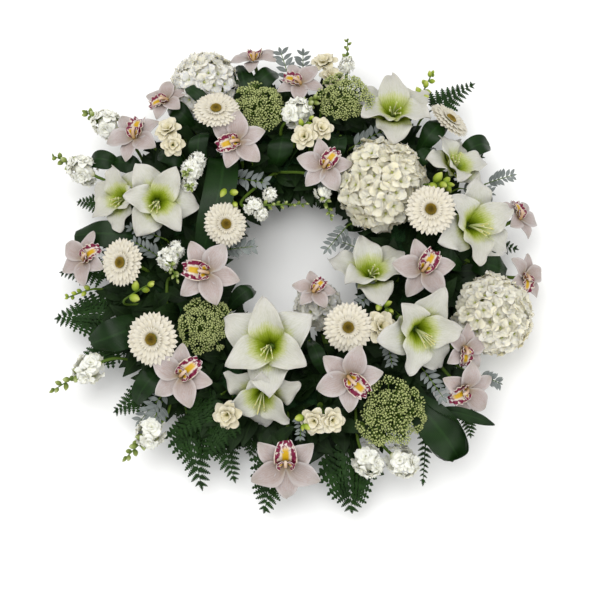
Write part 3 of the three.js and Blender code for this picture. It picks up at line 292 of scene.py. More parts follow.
def standing(at, direction, angle=90.0):
    """Rotation and place that stand local +Z along a direction, with local +Y turned to an angle."""
    out = unit(np.asarray(direction, float))
    turn = math.radians(angle)
    across = np.cross([math.cos(turn), math.sin(turn), 0.0], out)
    if np.linalg.norm(across) < 0.1:
        across = np.cross(UP, out)
    across = unit(across)
    return np.stack([across, np.cross(out, across), out], axis=1), np.asarray(at, float)


def head_frame(row):
    """Rotation and place of a head of the layout."""
    return standing(row["at"], facing(row["tilt"]), row.get("angle", 90))


def raised(where, height):
    turn, at = where
    return turn, at + turn[:, 2] * height


def stem_start(where, depth, radius):
    """Where a head's stem starts behind it, the way it leaves, and its radius."""
    return placed(np.array([0, 0, -depth]), where), -where[0][:, 2], radius


def spine(heights, where):
    """A straight path through a head's heart."""
    return placed(np.array([[0, 0, height] for height in heights]), where)


def placed(points, where):
    turn, at = where
    return points @ turn.T + at


def facing(slopes):
    return unit(np.array([slopes[0], slopes[1], 1.0]))


def dome_directions(count, lowest):
    """Directions spread evenly over a dome, from the top down to an elevation in degrees."""
    step = np.arange(count)
    height = 1 - (step + 0.35) / count * (1 - math.sin(math.radians(lowest)))
    reach = np.sqrt(np.maximum(0, 1 - height**2))
    turn = step * GOLDEN_ANGLE
    return np.stack([reach * np.cos(turn), reach * np.sin(turn), height], axis=1)


def bezier(a, b, c, steps):
    """A curve from a to c, drawn towards b."""
    share = np.linspace(0, 1, steps)[:, None]
    a, b, c = (np.asarray(point, float) for point in (a, b, c))
    return (1 - share) ** 2 * a + 2 * share * (1 - share) * b + share**2 * c


def bowed(start, end, rise):
    middle = (np.asarray(start, float) + np.asarray(end, float)) / 2 + UP * rise
    return bezier(start, middle, end, 24)


def point_along(path, share):
    """The point and direction at a share of a path's points."""
    place = share * (len(path) - 1)
    low = int(min(len(path) - 2, math.floor(place)))
    point = path[low] + (path[low + 1] - path[low]) * (place - low)
    return point, unit(path[low + 1] - path[low])


# Meshes


def add_object(name, data):
    made = bpy.data.objects.new(name, data)
    bpy.context.scene.collection.objects.link(made)
    return made


class Surfaces:
    """Closed blades and tubes of one piece, in millimetres from the middle of the ring."""

    def __init__(self):
        self.points, self.maps, self.rims = [], [], []
        self.faces, self.slots = [], []
        self.count = 0

    def add_points(self, points, maps, rims):
        numbers = self.count + np.arange(len(points))
        self.points.append(points)
        self.maps.append(maps)
        self.rims.append(rims)
        self.count += len(points)
        return numbers

    def add_faces(self, faces, slot):
        faces = faces.reshape(-1, faces.shape[-1])
        self.faces.extend(faces.tolist())
        self.slots.append(np.full(len(faces), slot))

    def blades(self, grids, maps, thickness, slot=0):
        """Grids (k, n, m, 3) as thin lens-like bodies: two faces that meet at their rim."""
        grids = np.asarray(grids, float)
        k, n, m, _ = grids.shape
        normal = unit(np.cross(np.gradient(grids, axis=1), np.gradient(grids, axis=2)))
        inner = np.zeros((n, m), bool)
        inner[1:-1, 1:-1] = True
        top = grids + normal * (thickness / 2) * inner[None, :, :, None]
        low = (grids - normal * (thickness / 2))[:, 1:-1, 1:-1]
        rims = np.broadcast_to(~inner, (k, n, m)).ravel()
        upper = self.add_points(top.reshape(-1, 3), maps.reshape(-1, 3), rims).reshape(k, n, m)
        flat_maps = maps[:, 1:-1, 1:-1].reshape(-1, 3)
        under = upper.copy()
        numbers = self.add_points(low.reshape(-1, 3), flat_maps, np.zeros(len(flat_maps), bool))
        under[:, 1:-1, 1:-1] = numbers.reshape(k, n - 2, m - 2)
        for side, order in ((upper, (0, 1, 2, 3)), (under, (0, 3, 2, 1))):
            corners = [side[:, :-1, :-1], side[:, 1:, :-1], side[:, 1:, 1:], side[:, :-1, 1:]]
            self.add_faces(np.stack([corners[corner] for corner in order], axis=-1), slot)

    def tubes(self, rings, maps, slot=0):
        """Rings (k, n, m, 3) of closed outlines, run together and closed at both ends."""
        k, n, m, _ = rings.shape
        numbers = self.add_points(rings.reshape(-1, 3), maps.reshape(-1, 3), np.zeros(k * n * m, bool))
        numbers = numbers.reshape(k, n, m)
        turned = np.roll(numbers, -1, axis=2)
        walls = [numbers[:, :-1], turned[:, :-1], turned[:, 1:], numbers[:, 1:]]
        self.add_faces(np.stack(walls, axis=-1), slot)
        for end in (0, -1):
            ends = self.add_points(rings[:, end].mean(axis=1), maps[:, end, 0], np.zeros(k, bool))
            pole = np.repeat(ends[:, None], m, axis=1)
            pair = [turned[:, end], numbers[:, end]] if end == 0 else [numbers[:, end], turned[:, end]]
            self.add_faces(np.stack([pole, *pair], axis=-1), slot)

    def stars(self, rings, peaks, maps, slot=0):
        """Flat closed stars: outlines (k, m, 3) between a peak above and one below."""
        k, m, _ = rings.shape
        numbers = self.add_points(rings.reshape(-1, 3), maps.reshape(-1, 3), np.zeros(k * m, bool))
        numbers = numbers.reshape(k, m)
        turned = np.roll(numbers, -1, axis=1)
        for side, pair in ((1, (numbers, turned)), (-1, (turned, numbers))):
            ends = self.add_points(rings.mean(axis=1) + side * peaks, maps[:, 0], np.zeros(k, bool))
            pole = np.repeat(ends[:, None], m, axis=1)
            self.add_faces(np.stack([pole, *pair], axis=-1), slot)

    def tube(self, path, radii, slot=0, sides=6, tone=0.5):
        """One round tube along a path."""
        path = np.asarray(path, float)
        radii = np.broadcast_to(radii, len(path))
        rings = ring_points(path, radii, sides)[None]
        self.tubes(rings, tube_maps(rings.shape, tone), slot)

    def piece(self, name, materials, slot_name, nodes=()):
        points = (kept_inside(np.concatenate(self.points)) + RING_MIDDLE) * MM
        mesh = bpy.data.meshes.new(name)
        mesh.from_pydata(points.tolist(), [], self.faces)
        mesh.shade_smooth()
        values = np.concatenate(self.maps).astype(np.float32)
        mesh.attributes.new("growth", "FLOAT_VECTOR", "POINT").data.foreach_set("vector", values.ravel())
        mesh.polygons.foreach_set("material_index", np.concatenate(self.slots).astype(np.int32))
        ends = np.zeros(len(mesh.edges) * 2, np.int32)
        mesh.edges.foreach_get("vertices", ends)
        rims = np.concatenate(self.rims)[ends].reshape(-1, 2).all(axis=1)
        mesh.edges.foreach_set("use_edge_sharp", rims)
        for material in materials:
            mesh.materials.append(material)
        mesh.update()
        made = add_object(name, mesh)
        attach(made, "root")
        if nodes:
            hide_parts(*nodes)
        return made


def ring_points(path, radii, sides):
    """Outlines round a path: (n, sides, 3)."""
    tangents = unit(np.gradient(path, axis=0))
    hint = np.cross(path[len(path) // 2] - path[0], path[-1] - path[0])
    if np.linalg.norm(hint) < 1e-3:
        hint = np.eye(3)[np.argmin(np.abs(path[-1] - path[0]))]
    across = unit(np.cross(hint, tangents))
    other = np.cross(tangents, across)
    turn = np.arange(sides) * 2 * math.pi / sides
    spokes = np.cos(turn)[None, :, None] * across[:, None] + np.sin(turn)[None, :, None] * other[:, None]
    return path[:, None] + spokes * np.asarray(radii)[:, None, None]


def tube_maps(shape, tone):
    maps = np.zeros(shape)
    maps[..., 0] = np.linspace(0, 1, shape[1])[None, :, None]
    maps[..., 1] = np.linspace(-1, 1, shape[2])[None, None, :]
    maps[..., 2] = tone
    return maps


def grid_map(along, across, tone):
    along, across = np.broadcast_arrays(along, across)
    return np.stack([along, across, np.full(along.shape, tone)], axis=-1)


# Petals, by the part's own rule and on a finer grid


def petal(form, rows, cols, rng):
    """One petal's points (rows, cols, 3) round its bloom's heart, and its map."""
    along = 1 - (1 - np.linspace(0, 1, rows)[:, None]) ** 1.25
    across = np.sin(np.linspace(-1, 1, cols) * math.pi / 2)[None, :]
    first = math.radians(form["lean"][0])
    bend = math.radians(form["lean"][1]) - first
    angle = first + bend * along
    out = form["start"] + form["length"] * (np.sin(angle) - math.sin(first)) / bend
    up = form["length"] * (math.cos(first) - np.cos(angle)) / bend
    belly = np.maximum(0, np.sin(math.pi * along**0.8)) ** form.get("belly", 0.75)
    half = form["width"] / 2 * np.maximum(belly, form["root"] * (1 - along))
    half = np.maximum(half, 0.2)
    lift = form["cup"] * half * across**2
    lift = lift + form.get("wave", 0) * np.abs(across) ** 2.5 * np.sin(
        (form.get("waves", 2) * along + rng.random()) * 2 * math.pi + (across > 0) * 2.1
    ) * np.minimum(1, along * 2.5)
    lift = lift - form.get("pleat", 0) * np.exp(-((across / 0.16) ** 2)) * (1 - along) ** 0.6
    lift = lift + form.get("rib", 0) * np.cos(across * math.pi * 5) * np.sin(math.pi * along)
    sway = form.get("sway", 0) * (rng.random() - 0.5) * form["length"] * along**2
    turn = math.radians(form.get("turn", 0))
    x = out - lift * np.sin(angle)
    y = across * half + sway
    z = up + lift * np.cos(angle)
    cosine, sine = math.cos(turn), math.sin(turn)
    points = np.stack([x * cosine - y * sine, x * sine + y * cosine, z], -1)
    return points, grid_map(along, across, form.get("tone", rng.random()))


def add_petals(build, forms, size, where, thickness, slot, rng):
    """Several petals of one grid size, stood in place."""
    pairs = [petal(form, *size, rng) for form in forms]
    grids = np.stack([placed(points, where) for points, _ in pairs])
    build.blades(grids, np.stack([values for _, values in pairs]), thickness, slot)


def oval_blade(width, rows, cols, rise, fold, tip, point):
    """A leaf blade 1 long, along +X, with its root at the origin."""
    along = np.linspace(0, 1, rows)[:, None]
    across = np.linspace(-1, 1, cols)[None, :]
    half = np.maximum(width / 2 * np.abs(np.sin(math.pi * along**tip)) ** point, 0.01)
    x = along + 0 * across
    y = across * half
    z = rise * np.sin(math.pi * along) + fold * half * np.abs(across)
    return np.stack([x, y, z], -1), grid_map(along, across, 0.5)


def many(template, turns, places):
    """A template (n, m, 3) at many places, with rotations (k, 3, 3)."""
    return np.einsum("nmc,kdc->knmd", template, turns) + places[:, None, None, :]


def frames_for(directions, hints):
    """Rotations whose +X runs along each direction and whose +Z is as near to its hint as fits."""
    out = unit(directions)
    side = unit(np.cross(hints, out))
    return np.stack([out, side, np.cross(out, side)], axis=-1)


def stamp(build, blade, directions, hints, places, sizes, thickness, slot, rng):
    """Copies of a blade along directions from places, each with its own size and tone."""
    points, values = blade
    grids = many(points, frames_for(directions, hints), np.zeros_like(places))
    grids = grids * np.asarray(sizes)[:, None, None, None] + places[:, None, None, :]
    maps = np.broadcast_to(values, (len(places), *values.shape)).copy()
    maps[..., 2] = rng.random(len(places))[:, None, None]
    build.blades(grids, maps, thickness, slot)


# Stems


def cad_points(name):
    """A CAD node's corners, in millimetres from the middle of the ring."""
    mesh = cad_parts[name].data
    points = np.zeros(len(mesh.vertices) * 3)
    mesh.vertices.foreach_get("co", points)
    return points.reshape(-1, 3) / MM - RING_MIDDLE


def foot_of(name, in_side):
    """Where a node's stem ends in the foam, and the way out of it."""
    points = cad_points(name)
    reach = np.hypot(points[:, 0], points[:, 1])
    if in_side:
        end = points[reach < reach.min() + 3].mean(axis=0)
        return end, unit(end * [1, 1, 0])
    in_foam = (np.abs(reach - RING_RADIUS) < FOAM_HALF_WIDTH) & (points[:, 2] < FOAM_TOP - FOOT_DEPTH + 1)
    return points[in_foam].mean(axis=0), UP


def stem_path(start, direction, end, out):
    pull = np.linalg.norm(end - start) * 0.42
    share = np.linspace(0, 1, 16)[:, None]
    knots = [start, start + direction * pull, end + out * pull, end]
    weights = [(1 - share) ** 3, 3 * share * (1 - share) ** 2, 3 * share**2 * (1 - share), share**3]
    return sum(weight * knot for weight, knot in zip(weights, knots))


def add_stems(build, name, ends, slot, in_side=False):
    """Stems from the backs of a node's heads, to its foot in the foam."""
    foot, out = foot_of(name, in_side)
    if len(ends) > 1:
        joint = foot + out * (FOOT_DEPTH + JOINT_HEIGHT)
        build.tube(bezier(foot, (foot + joint) / 2, joint + out * 2, 6), FOOT_RADIUS, slot, 8)
    for start, direction, radius in ends:
        if len(ends) > 1:
            path = stem_path(start, direction, joint, unit(unit(start - joint) + 0.35 * out))
        else:
            path = stem_path(start, direction, foot, out)
        build.tube(path, np.linspace(radius * 1.05, radius * 0.95, len(path)), slot, 7)


# Materials


class Shader:
    """A material whose colour grows along and across each petal or leaf."""

    def __init__(self, name, roughness, subsurface=0.0, coat=0.0, shine=0.25):
        self.material = bpy.data.materials.new(name)
        self.material.use_nodes = True
        self.tree = self.material.node_tree
        self.surface = self.tree.nodes["Principled BSDF"]
        looks = {
            "Roughness": roughness, "Specular IOR Level": shine,
            "Subsurface Weight": subsurface, "Subsurface Radius": (1.0, 0.9, 0.6), "Subsurface Scale": 0.004,
            "Coat Weight": coat, "Coat Roughness": 0.35,
        }
        for socket, value in looks.items():
            self.surface.inputs[socket].default_value = value
        growth = self.node("ShaderNodeAttribute")
        growth.attribute_name = "growth"
        parts = self.node("ShaderNodeSeparateXYZ")
        self.join(growth.outputs["Vector"], parts.inputs[0])
        self.growth = growth.outputs["Vector"]
        self.along, self.across, self.tone = (parts.outputs[axis] for axis in "XYZ")
        self.aside = self.maths("ABSOLUTE", self.across)
        self.place = self.node("ShaderNodeTexCoord").outputs["Object"]

    def node(self, kind):
        return self.tree.nodes.new(kind)

    def join(self, source, target):
        if isinstance(source, bpy.types.NodeSocket):
            self.tree.links.new(source, target)
        else:
            target.default_value = source

    def maths(self, operation, *values):
        node = self.node("ShaderNodeMath")
        node.operation = operation
        for value, target in zip(values, node.inputs):
            self.join(value, target)
        return node.outputs[0]

    def plus(self, first, second):
        return self.maths("ADD", first, second)

    def minus(self, first, second):
        return self.maths("SUBTRACT", first, second)

    def times(self, first, second):
        return self.maths("MULTIPLY", first, second)

    def ramp(self, value, stops):
        node = self.node("ShaderNodeValToRGB")
        elements = node.color_ramp.elements
        while len(elements) < len(stops):
            elements.new(0.5)
        for element, (place, colour) in zip(elements, stops):
            element.position = place
            element.color = linear(colour)
        self.join(value, node.inputs[0])
        return node.outputs[0]

    def between(self, value, low, high):
        node = self.node("ShaderNodeMapRange")
        node.interpolation_type = "SMOOTHSTEP"
        for source, target in zip((value, low, high), node.inputs):
            self.join(source, target)
        return node.outputs[0]

    def mix(self, share, first, second, blend="MIX"):
        node = self.node("ShaderNodeMix")
        node.data_type = "RGBA"
        node.blend_type = blend
        self.join(share, node.inputs[0])
        for source, target in ((first, node.inputs[6]), (second, node.inputs[7])):
            self.join(linear(source) if isinstance(source, tuple) and len(source) == 3 else source, target)
        return node.outputs[2]

    def noise(self, scale, detail=3.0, vector=None):
        node = self.node("ShaderNodeTexNoise")
        self.join(vector or self.place, node.inputs["Vector"])
        node.inputs["Scale"].default_value = scale
        node.inputs["Detail"].default_value = detail
        return node.outputs["Fac"]

    def scaled(self, x, y, z):
        """The growth map stretched, as a vector for a texture."""
        node = self.node("ShaderNodeVectorMath")
        node.operation = "MULTIPLY"
        self.join(self.growth, node.inputs[0])
        node.inputs[1].default_value = (x, y, z)
        return node.outputs[0]

    def veins(self, count, waver=0.4):
        """Lines that run along a blade: 0 between them and 1 on them."""
        drift = self.times(self.noise(9, 2, self.scaled(1, 1, 17)), waver)
        phase = self.times(self.plus(self.across, drift), count * math.pi)
        return self.maths("POWER", self.maths("ABSOLUTE", self.maths("SINE", phase)), 3.0)

    def bump(self, height, strength, distance=0.0006):
        node = self.node("ShaderNodeBump")
        node.inputs["Strength"].default_value = strength
        node.inputs["Distance"].default_value = distance
        self.join(height, node.inputs["Height"])
        self.join(node.outputs[0], self.surface.inputs["Normal"])

    def done(self, colour):
        self.join(colour, self.surface.inputs["Base Color"])
        return self.material


def linear(colour):
    """An sRGB colour, 0 to 255, as the renderer counts it."""
    shares = [part / 255 for part in colour]
    return tuple(s / 12.92 if s <= 0.04045 else ((s + 0.055) / 1.055) ** 2.4 for s in shares) + (1.0,)


def petal_shader(
    name, stops, fleck, vein_count, vein_share, tint, roughness=0.5, subsurface=0.12, rim=None, feather=0.0
):
    """Petals: colour along their length that feathers up the midrib, fine veins, and soft mottling."""
    shader = Shader(name, roughness, subsurface)
    veins = shader.veins(vein_count)
    reach = shader.along
    if feather:
        reach = shader.plus(reach, shader.times(shader.aside, feather))
        reach = shader.minus(reach, shader.times(veins, feather * 0.4))
    colour = shader.ramp(reach, stops)
    colour = shader.mix(shader.times(veins, vein_share), colour, fleck, "MULTIPLY")
    if rim:
        rim_share, rim_colour = rim
        edge = shader.times(shader.between(shader.aside, 0.55, 1.0), rim_share)
        colour = shader.mix(edge, colour, rim_colour)
    colour = shader.mix(shader.times(shader.tone, 0.4), colour, tint, "MULTIPLY")
    mottle = shader.times(shader.between(shader.noise(160), 0.5, 0.75), 0.25)
    colour = shader.mix(mottle, colour, fleck, "MULTIPLY")
    height = shader.plus(shader.times(veins, -0.5), shader.noise(700, 2))
    shader.bump(height, 0.22)
    return shader.done(colour)


def leaf_shader(name, dark, light, vein, vein_count, vein_share, roughness, coat=0.0):
    """Leaves: dark and light greens in drifts, with veins and a lighter midrib."""
    shader = Shader(name, roughness, 0.0, coat, 0.12)
    colour = shader.mix(shader.between(shader.noise(45), 0.35, 0.7), dark, light)
    colour = shader.mix(shader.times(shader.tone, 0.35), colour, light)
    veins = shader.veins(vein_count, 0.05)
    colour = shader.mix(shader.times(veins, vein_share), colour, vein)
    midrib = shader.minus(1.0, shader.between(shader.aside, 0.02, 0.12))
    colour = shader.mix(shader.times(midrib, 0.45), colour, vein)
    height = shader.plus(shader.times(veins, 0.7), shader.noise(500, 2))
    shader.bump(height, 0.3)
    return shader.done(colour)


def lip_shader():
    """Orchid lip: white, with a broad yellow keel, and magenta spots that crowd towards its frilled rim."""
    shader = Shader("orchid_lip", 0.42, 0.1)
    spots = shader.node("ShaderNodeTexVoronoi")
    shader.join(shader.scaled(9.5, 4.2, 40), spots.inputs["Vector"])
    spots.inputs["Scale"].default_value = 1.0
    near_rim = shader.between(shader.aside, 0.3, 0.6)
    near_tip = shader.between(shader.along, 0.6, 0.84)
    zone = shader.maths("MAXIMUM", near_rim, near_tip)
    size = shader.plus(0.08, shader.times(zone, 0.7))
    inside = shader.minus(size, spots.outputs["Distance"])
    spot = shader.times(shader.between(inside, 0.0, 0.1), zone)
    edge = shader.minus(1.0, shader.between(shader.aside, 0.88, 0.96))
    colour = shader.ramp(shader.along, [(0, (176, 150, 110)), (0.4, (196, 184, 168)), (1, (200, 190, 188))])
    keel = shader.minus(1.0, shader.between(shader.aside, 0.2, 0.42))
    keel = shader.times(keel, shader.between(shader.along, 0.84, 0.6))
    colour = shader.mix(keel, colour, (184, 146, 12))
    colour = shader.mix(shader.times(spot, edge), colour, (104, 10, 48))
    shader.bump(shader.noise(500, 2), 0.2)
    return shader.done(colour)


def disc_shader():
    """Gerbera disc: olive brown florets, yellower at the rim."""
    shader = Shader("gerbera_disc", 0.7)
    colour = shader.ramp(shader.along, [(0, (58, 50, 8)), (0.5, (104, 84, 16)), (1, (158, 134, 50))])
    colour = shader.mix(shader.times(shader.tone, 0.5), colour, (136, 112, 30))
    shader.bump(shader.noise(1500, 2), 0.5)
    return shader.done(colour)


def crumb_shader():
    """Wet floral foam: green, pitted and crumbly."""
    shader = Shader("floral_foam", 0.95)
    colour = shader.mix(shader.between(shader.noise(90), 0.35, 0.65), (18, 42, 18), (36, 68, 34))
    pits = shader.node("ShaderNodeTexVoronoi")
    shader.join(shader.place, pits.inputs["Vector"])
    pits.inputs["Scale"].default_value = 420
    shader.bump(shader.plus(pits.outputs["Distance"], shader.noise(900, 3)), 0.8, 0.0012)
    return shader.done(colour)


def tray_shader():
    """Moulded plastic tray, finely grained, with a little dust."""
    shader = Shader("tray_plastic", 0.5)
    dust = shader.times(shader.between(shader.noise(14, 5), 0.45, 0.75), 0.35)
    colour = shader.mix(dust, (30, 42, 33), (74, 80, 72))
    shader.bump(shader.noise(1800, 3), 0.25)
    return shader.done(colour)


# The base colours are deep, because the studio's light is strong enough to keep the floor white
WHITE_PETAL = petal_shader(
    "amaryllis_petal",
    [(0, (66, 86, 2)), (0.17, (106, 126, 8)), (0.29, (140, 156, 40)), (0.42, (176, 181, 126)),
     (0.56, (184, 184, 175)), (1, (185, 183, 179))],
    (230, 231, 214), 7, 0.4, (240, 237, 228), 0.42, 0.15, feather=0.13,
)
ORCHID_PETAL = petal_shader(
    "orchid_petal",
    [(0, (140, 124, 92)), (0.25, (148, 137, 131)), (0.65, (167, 159, 157)), (1, (161, 157, 150))],
    (232, 210, 202), 6, 0.45, (246, 236, 232), 0.4, rim=(0.5, (185, 182, 181)),
)
ORCHID_LIP = lip_shader()
COLUMN = petal_shader(
    "orchid_column", [(0, (176, 146, 84)), (0.6, (192, 168, 146)), (1, (206, 196, 176))],
    (214, 160, 150), 5, 0.3, (240, 226, 206),
)
CREAM_RAY = petal_shader(
    "gerbera_ray", [(0, (192, 182, 142)), (0.35, (202, 196, 178)), (1, (205, 200, 187))],
    (232, 222, 198), 2, 0.35, (248, 244, 234), 0.55, 0.2,
)
DISC = disc_shader()
HYDRANGEA_PETAL = petal_shader(
    "hydrangea_petal", [(0, (202, 202, 146)), (0.26, (218, 215, 202)), (1, (219, 216, 207))],
    (240, 238, 220), 4, 0.25, (252, 236, 158), 0.6, 0.6,
)
AMMI_FLORET = petal_shader(
    "ammi_floret", [(0, (122, 140, 46)), (0.5, (174, 184, 98)), (1, (214, 219, 162))],
    (206, 218, 160), 3, 0.3, (222, 228, 190), 0.75, 0.0,
)
FREESIA_PETAL = petal_shader(
    "freesia_petal", [(0, (190, 184, 96)), (0.22, (205, 198, 164)), (1, (211, 205, 189))],
    (236, 228, 196), 5, 0.3, (248, 243, 226), 0.45, 0.25,
)
BUD = petal_shader(
    "bud_green", [(0, (88, 116, 20)), (0.55, (146, 160, 50)), (1, (186, 190, 108))],
    (190, 214, 130), 5, 0.3, (226, 232, 184), 0.45, 0.0,
)
STOCK_BUD = petal_shader(
    "stock_bud", [(0, (74, 92, 26)), (0.6, (124, 136, 66)), (1, (176, 182, 140))],
    (186, 206, 140), 5, 0.3, (214, 222, 180), 0.5, 0.0,
)
STOCK_PETAL = petal_shader(
    "stock_petal", [(0, (190, 196, 130)), (0.25, (230, 229, 216)), (1, (234, 233, 224))],
    (236, 238, 222), 4, 0.25, (246, 246, 238), 0.6, 0.3,
)
STAMEN = petal_shader(
    "stamen", [(0, (150, 170, 70)), (0.7, (198, 198, 162)), (1, (204, 192, 110))],
    (226, 226, 190), 2, 0.2, (240, 240, 222),
)
STEM = leaf_shader("green_stem", (48, 70, 18), (84, 108, 34), (100, 124, 48), 4, 0.3, 0.5)
DARK_LEAF = leaf_shader("aspidistra_leaf", (9, 26, 6), (22, 44, 14), (34, 62, 24), 13, 0.3, 0.3, 0.04)
BED_LEAF = leaf_shader("bed_leaf", (10, 22, 7), (26, 44, 17), (36, 56, 24), 5, 0.3, 0.5)
FERN_LEAF = leaf_shader("fern_leaf", (10, 28, 6), (28, 54, 16), (46, 76, 28), 3, 0.25, 0.5)
GREY_LEAF = leaf_shader("grey_leaf", (74, 80, 78), (122, 128, 126), (140, 146, 142), 3, 0.35, 0.75)
FOAM = crumb_shader()
TRAY = tray_shader()


# Blooms


def amaryllis(build, row, rng):
    """Two stars of three tepals from a deep green throat, with a style and six stamens."""
    where = head_frame(row)
    length = (row["span"] / 2 - 5) / 0.83
    outer = {"start": 5, "width": length * 0.78, "root": 0.3, "cup": 0.05, "lean": [56, -22], "belly": 0.82}
    inner = {"start": 3, "width": length * 0.66, "root": 0.3, "cup": 0.22, "lean": [70, -8], "belly": 0.8}
    for star, first, lift in ((outer, 30, 0), (inner, 90, 1.6)):
        forms = []
        for step in range(3):
            forms.append({
                **star, "turn": first + 120 * step + 5 * (rng.random() - 0.5),
                "length": length * (0.97 + 0.05 * rng.random()), "wave": length * 0.065,
                "waves": 1.6 + rng.random(), "pleat": length * 0.035, "rib": 0.5, "sway": 0.12,
                "lean": [star["lean"][0], star["lean"][1] - 12 * rng.random()],
            })
        add_petals(build, forms, (22, 15), raised(where, lift), 0.9, 0, rng)
    for step in range(7):
        turn = step * 2 * math.pi / 6 + 0.4
        spread = 0 if step == 6 else length * (0.1 + 0.04 * rng.random())
        reach = length * (0.66 if step == 6 else 0.42 + 0.08 * rng.random())
        sag = -length * 0.2
        tip = np.array([spread * math.cos(turn), spread * math.sin(turn) + sag, reach])
        near = spread * 0.4
        bend = np.array([near * math.cos(turn), near * math.sin(turn) + sag * 0.2, reach * 0.6])
        path = placed(bezier([0, 0, 3], bend, tip, 9), where)
        build.tube(path, np.linspace(1.0, 0.6, 9), 1, 6)
        knob = placed(np.array([tip + [0, -2.2, -0.4], tip + [0, 0, 0.5], tip + [0, 2.2, 0.2]]), where)
        build.tube(knob, [0.5, 1.1, 0.5], 1, 6, 1.0)
    build.tube(spine((-14, -8, -3, 0, 2), where), [3.6, 5.4, 5.2, 4.8, 3.2], 2, 12)
    return stem_start(where, 8, 4.2)


def orchid(build, row, rng):
    """Three sepals behind two petals, a spotted frilled lip and a column that arches over it."""
    where = head_frame(row)
    length = (row["span"] / 2 - 3) / 0.97
    tepal = {"start": 2.5, "root": 0.35, "belly": 0.76, "waves": 1.4, "pleat": length * 0.03, "sway": 0.12}
    layers = (((-90, 40, 140), 0.64, 0.16, -0.4), ((-24, 204), 0.74, 0.22, 0.9))
    for turns, width, cup, lift in layers:
        forms = []
        for turn in turns:
            forms.append({
                **tepal, "turn": turn + 6 * (rng.random() - 0.5),
                "width": length * width * (0.96 + 0.08 * rng.random()),
                "length": length * (0.97 + 0.05 * rng.random()), "cup": cup, "wave": length * 0.04,
                "lean": [24 + 10 * rng.random(), -10 - 18 * rng.random()],
            })
        add_petals(build, forms, (15, 11), raised(where, lift), 1.0, 0, rng)
    lip = {
        "start": 2, "length": length * 0.8, "width": length * 0.62, "root": 0.5, "cup": 0.34,
        "lean": [60, -66], "turn": 90, "wave": length * 0.075, "waves": 5.2, "belly": 0.42, "tone": 0.3,
    }
    sides = []
    for hand in (-1, 1):
        sides.append({
            "start": 2.5, "length": length * 0.42, "width": length * 0.36, "root": 0.6, "cup": 0.3,
            "belly": 0.5, "lean": [80, 28], "turn": 90 + hand * 50, "wave": length * 0.03, "waves": 2.4,
            "tone": 0.6,
        })
    add_petals(build, [lip], (22, 15), where, 0.9, 1, rng)
    add_petals(build, sides, (12, 9), where, 0.8, 1, rng)
    top = length * 0.26
    path = placed(bezier([0, -2, 1], [0, 1, top * 1.3], [0, top * 1.0, top * 1.1], 10), where)
    build.tube(path, [2.6, 2.5, 2.3, 2.2, 2.1, 2.1, 2.3, 2.4, 2.2, 1.2], 2, 10)
    return stem_start(where, 1, 2.4)


def gerbera(build, row, rng):
    """Layers of blunt ray petals, close together, round a disc of small florets."""
    where = head_frame(row)
    reach = row["span"] / 2
    layers = (
        (32, 1.0, 10, -6, 0.24, 0.0), (30, 0.94, 16, -4, 0.23, 1.1), (24, 0.78, 26, 0, 0.2, 1.9),
        (26, 0.5, 48, 14, 0.1, 2.5),
    )
    for count, share, first, last, width, lift in layers:
        forms = []
        for step in range(count):
            length = (reach * share - reach * 0.17) * (0.95 + 0.08 * rng.random())
            forms.append({
                "start": reach * 0.17, "length": length,
                "width": reach * width * (0.92 + 0.16 * rng.random()), "root": 0.6, "cup": -0.06,
                "lean": [first + 6 * rng.random(), last - 8 * rng.random()], "belly": 0.36,
                "pleat": 0.4, "turn": (step + 0.3 * rng.random() + share) * 360 / count,
            })
        add_petals(build, forms, (7, 5), raised(where, lift), 0.6, 0, rng)
    florets = np.arange(130)
    disc = reach * 0.2
    radius = disc * np.sqrt((florets + 0.5) / len(florets))
    turn = florets * GOLDEN_ANGLE
    height = reach * (0.16 + 0.05 * np.sin(math.pi * (radius / disc) ** 1.5))
    foot = np.stack([radius * np.cos(turn), radius * np.sin(turn), height - 1.2], -1)
    tip = foot + np.stack([radius * np.cos(turn) * 0.15, radius * np.sin(turn) * 0.15, 0 * turn + 2.6], -1)
    path = np.stack([foot, (foot + tip) / 2, tip], 1)
    rings = np.stack([ring_points(line, np.array([0.6, 0.65, 0.25]), 5) for line in path])
    maps = tube_maps(rings.shape, 0.5)
    maps[..., 0] = (radius / disc)[:, None, None]
    maps[..., 2] = rng.random(len(florets))[:, None, None]
    build.tubes(placed(rings, where), maps, 1)
    under = placed(np.array([[0, 0, z] for z in (-5.5, -3.5, -1, 2.2, reach * 0.14)]), where)
    build.tube(under, [2.6, reach * 0.16, reach * 0.22, reach * 0.26, reach * 0.2], 2, 18)
    return placed(np.array([0, 0, -4]), where), -where[0][:, 2], 2.3


def floret_turns(directions, rng, tilt):
    """Rotations of florets that look outwards, each tilted and turned a little."""
    outs = unit(directions + tilt * (rng.random(directions.shape) - 0.5))
    side = unit(np.cross(unit(rng.random(directions.shape) - 0.5), outs))
    return np.stack([side, np.cross(outs, side), outs], axis=-1)


def add_florets(build, turns, places, petals, size, where, slot, rng, tones=None):
    """Copies of one floret: petals is a list of forms."""
    for form in petals:
        points, values = petal(form, *size, rng)
        grids = placed(many(points, turns, places), where)
        maps = np.broadcast_to(values, (len(places), *values.shape)).copy()
        maps[..., 2] = (rng.random(len(places)) if tones is None else tones)[:, None, None]
        build.blades(grids, maps, 0.5, slot)


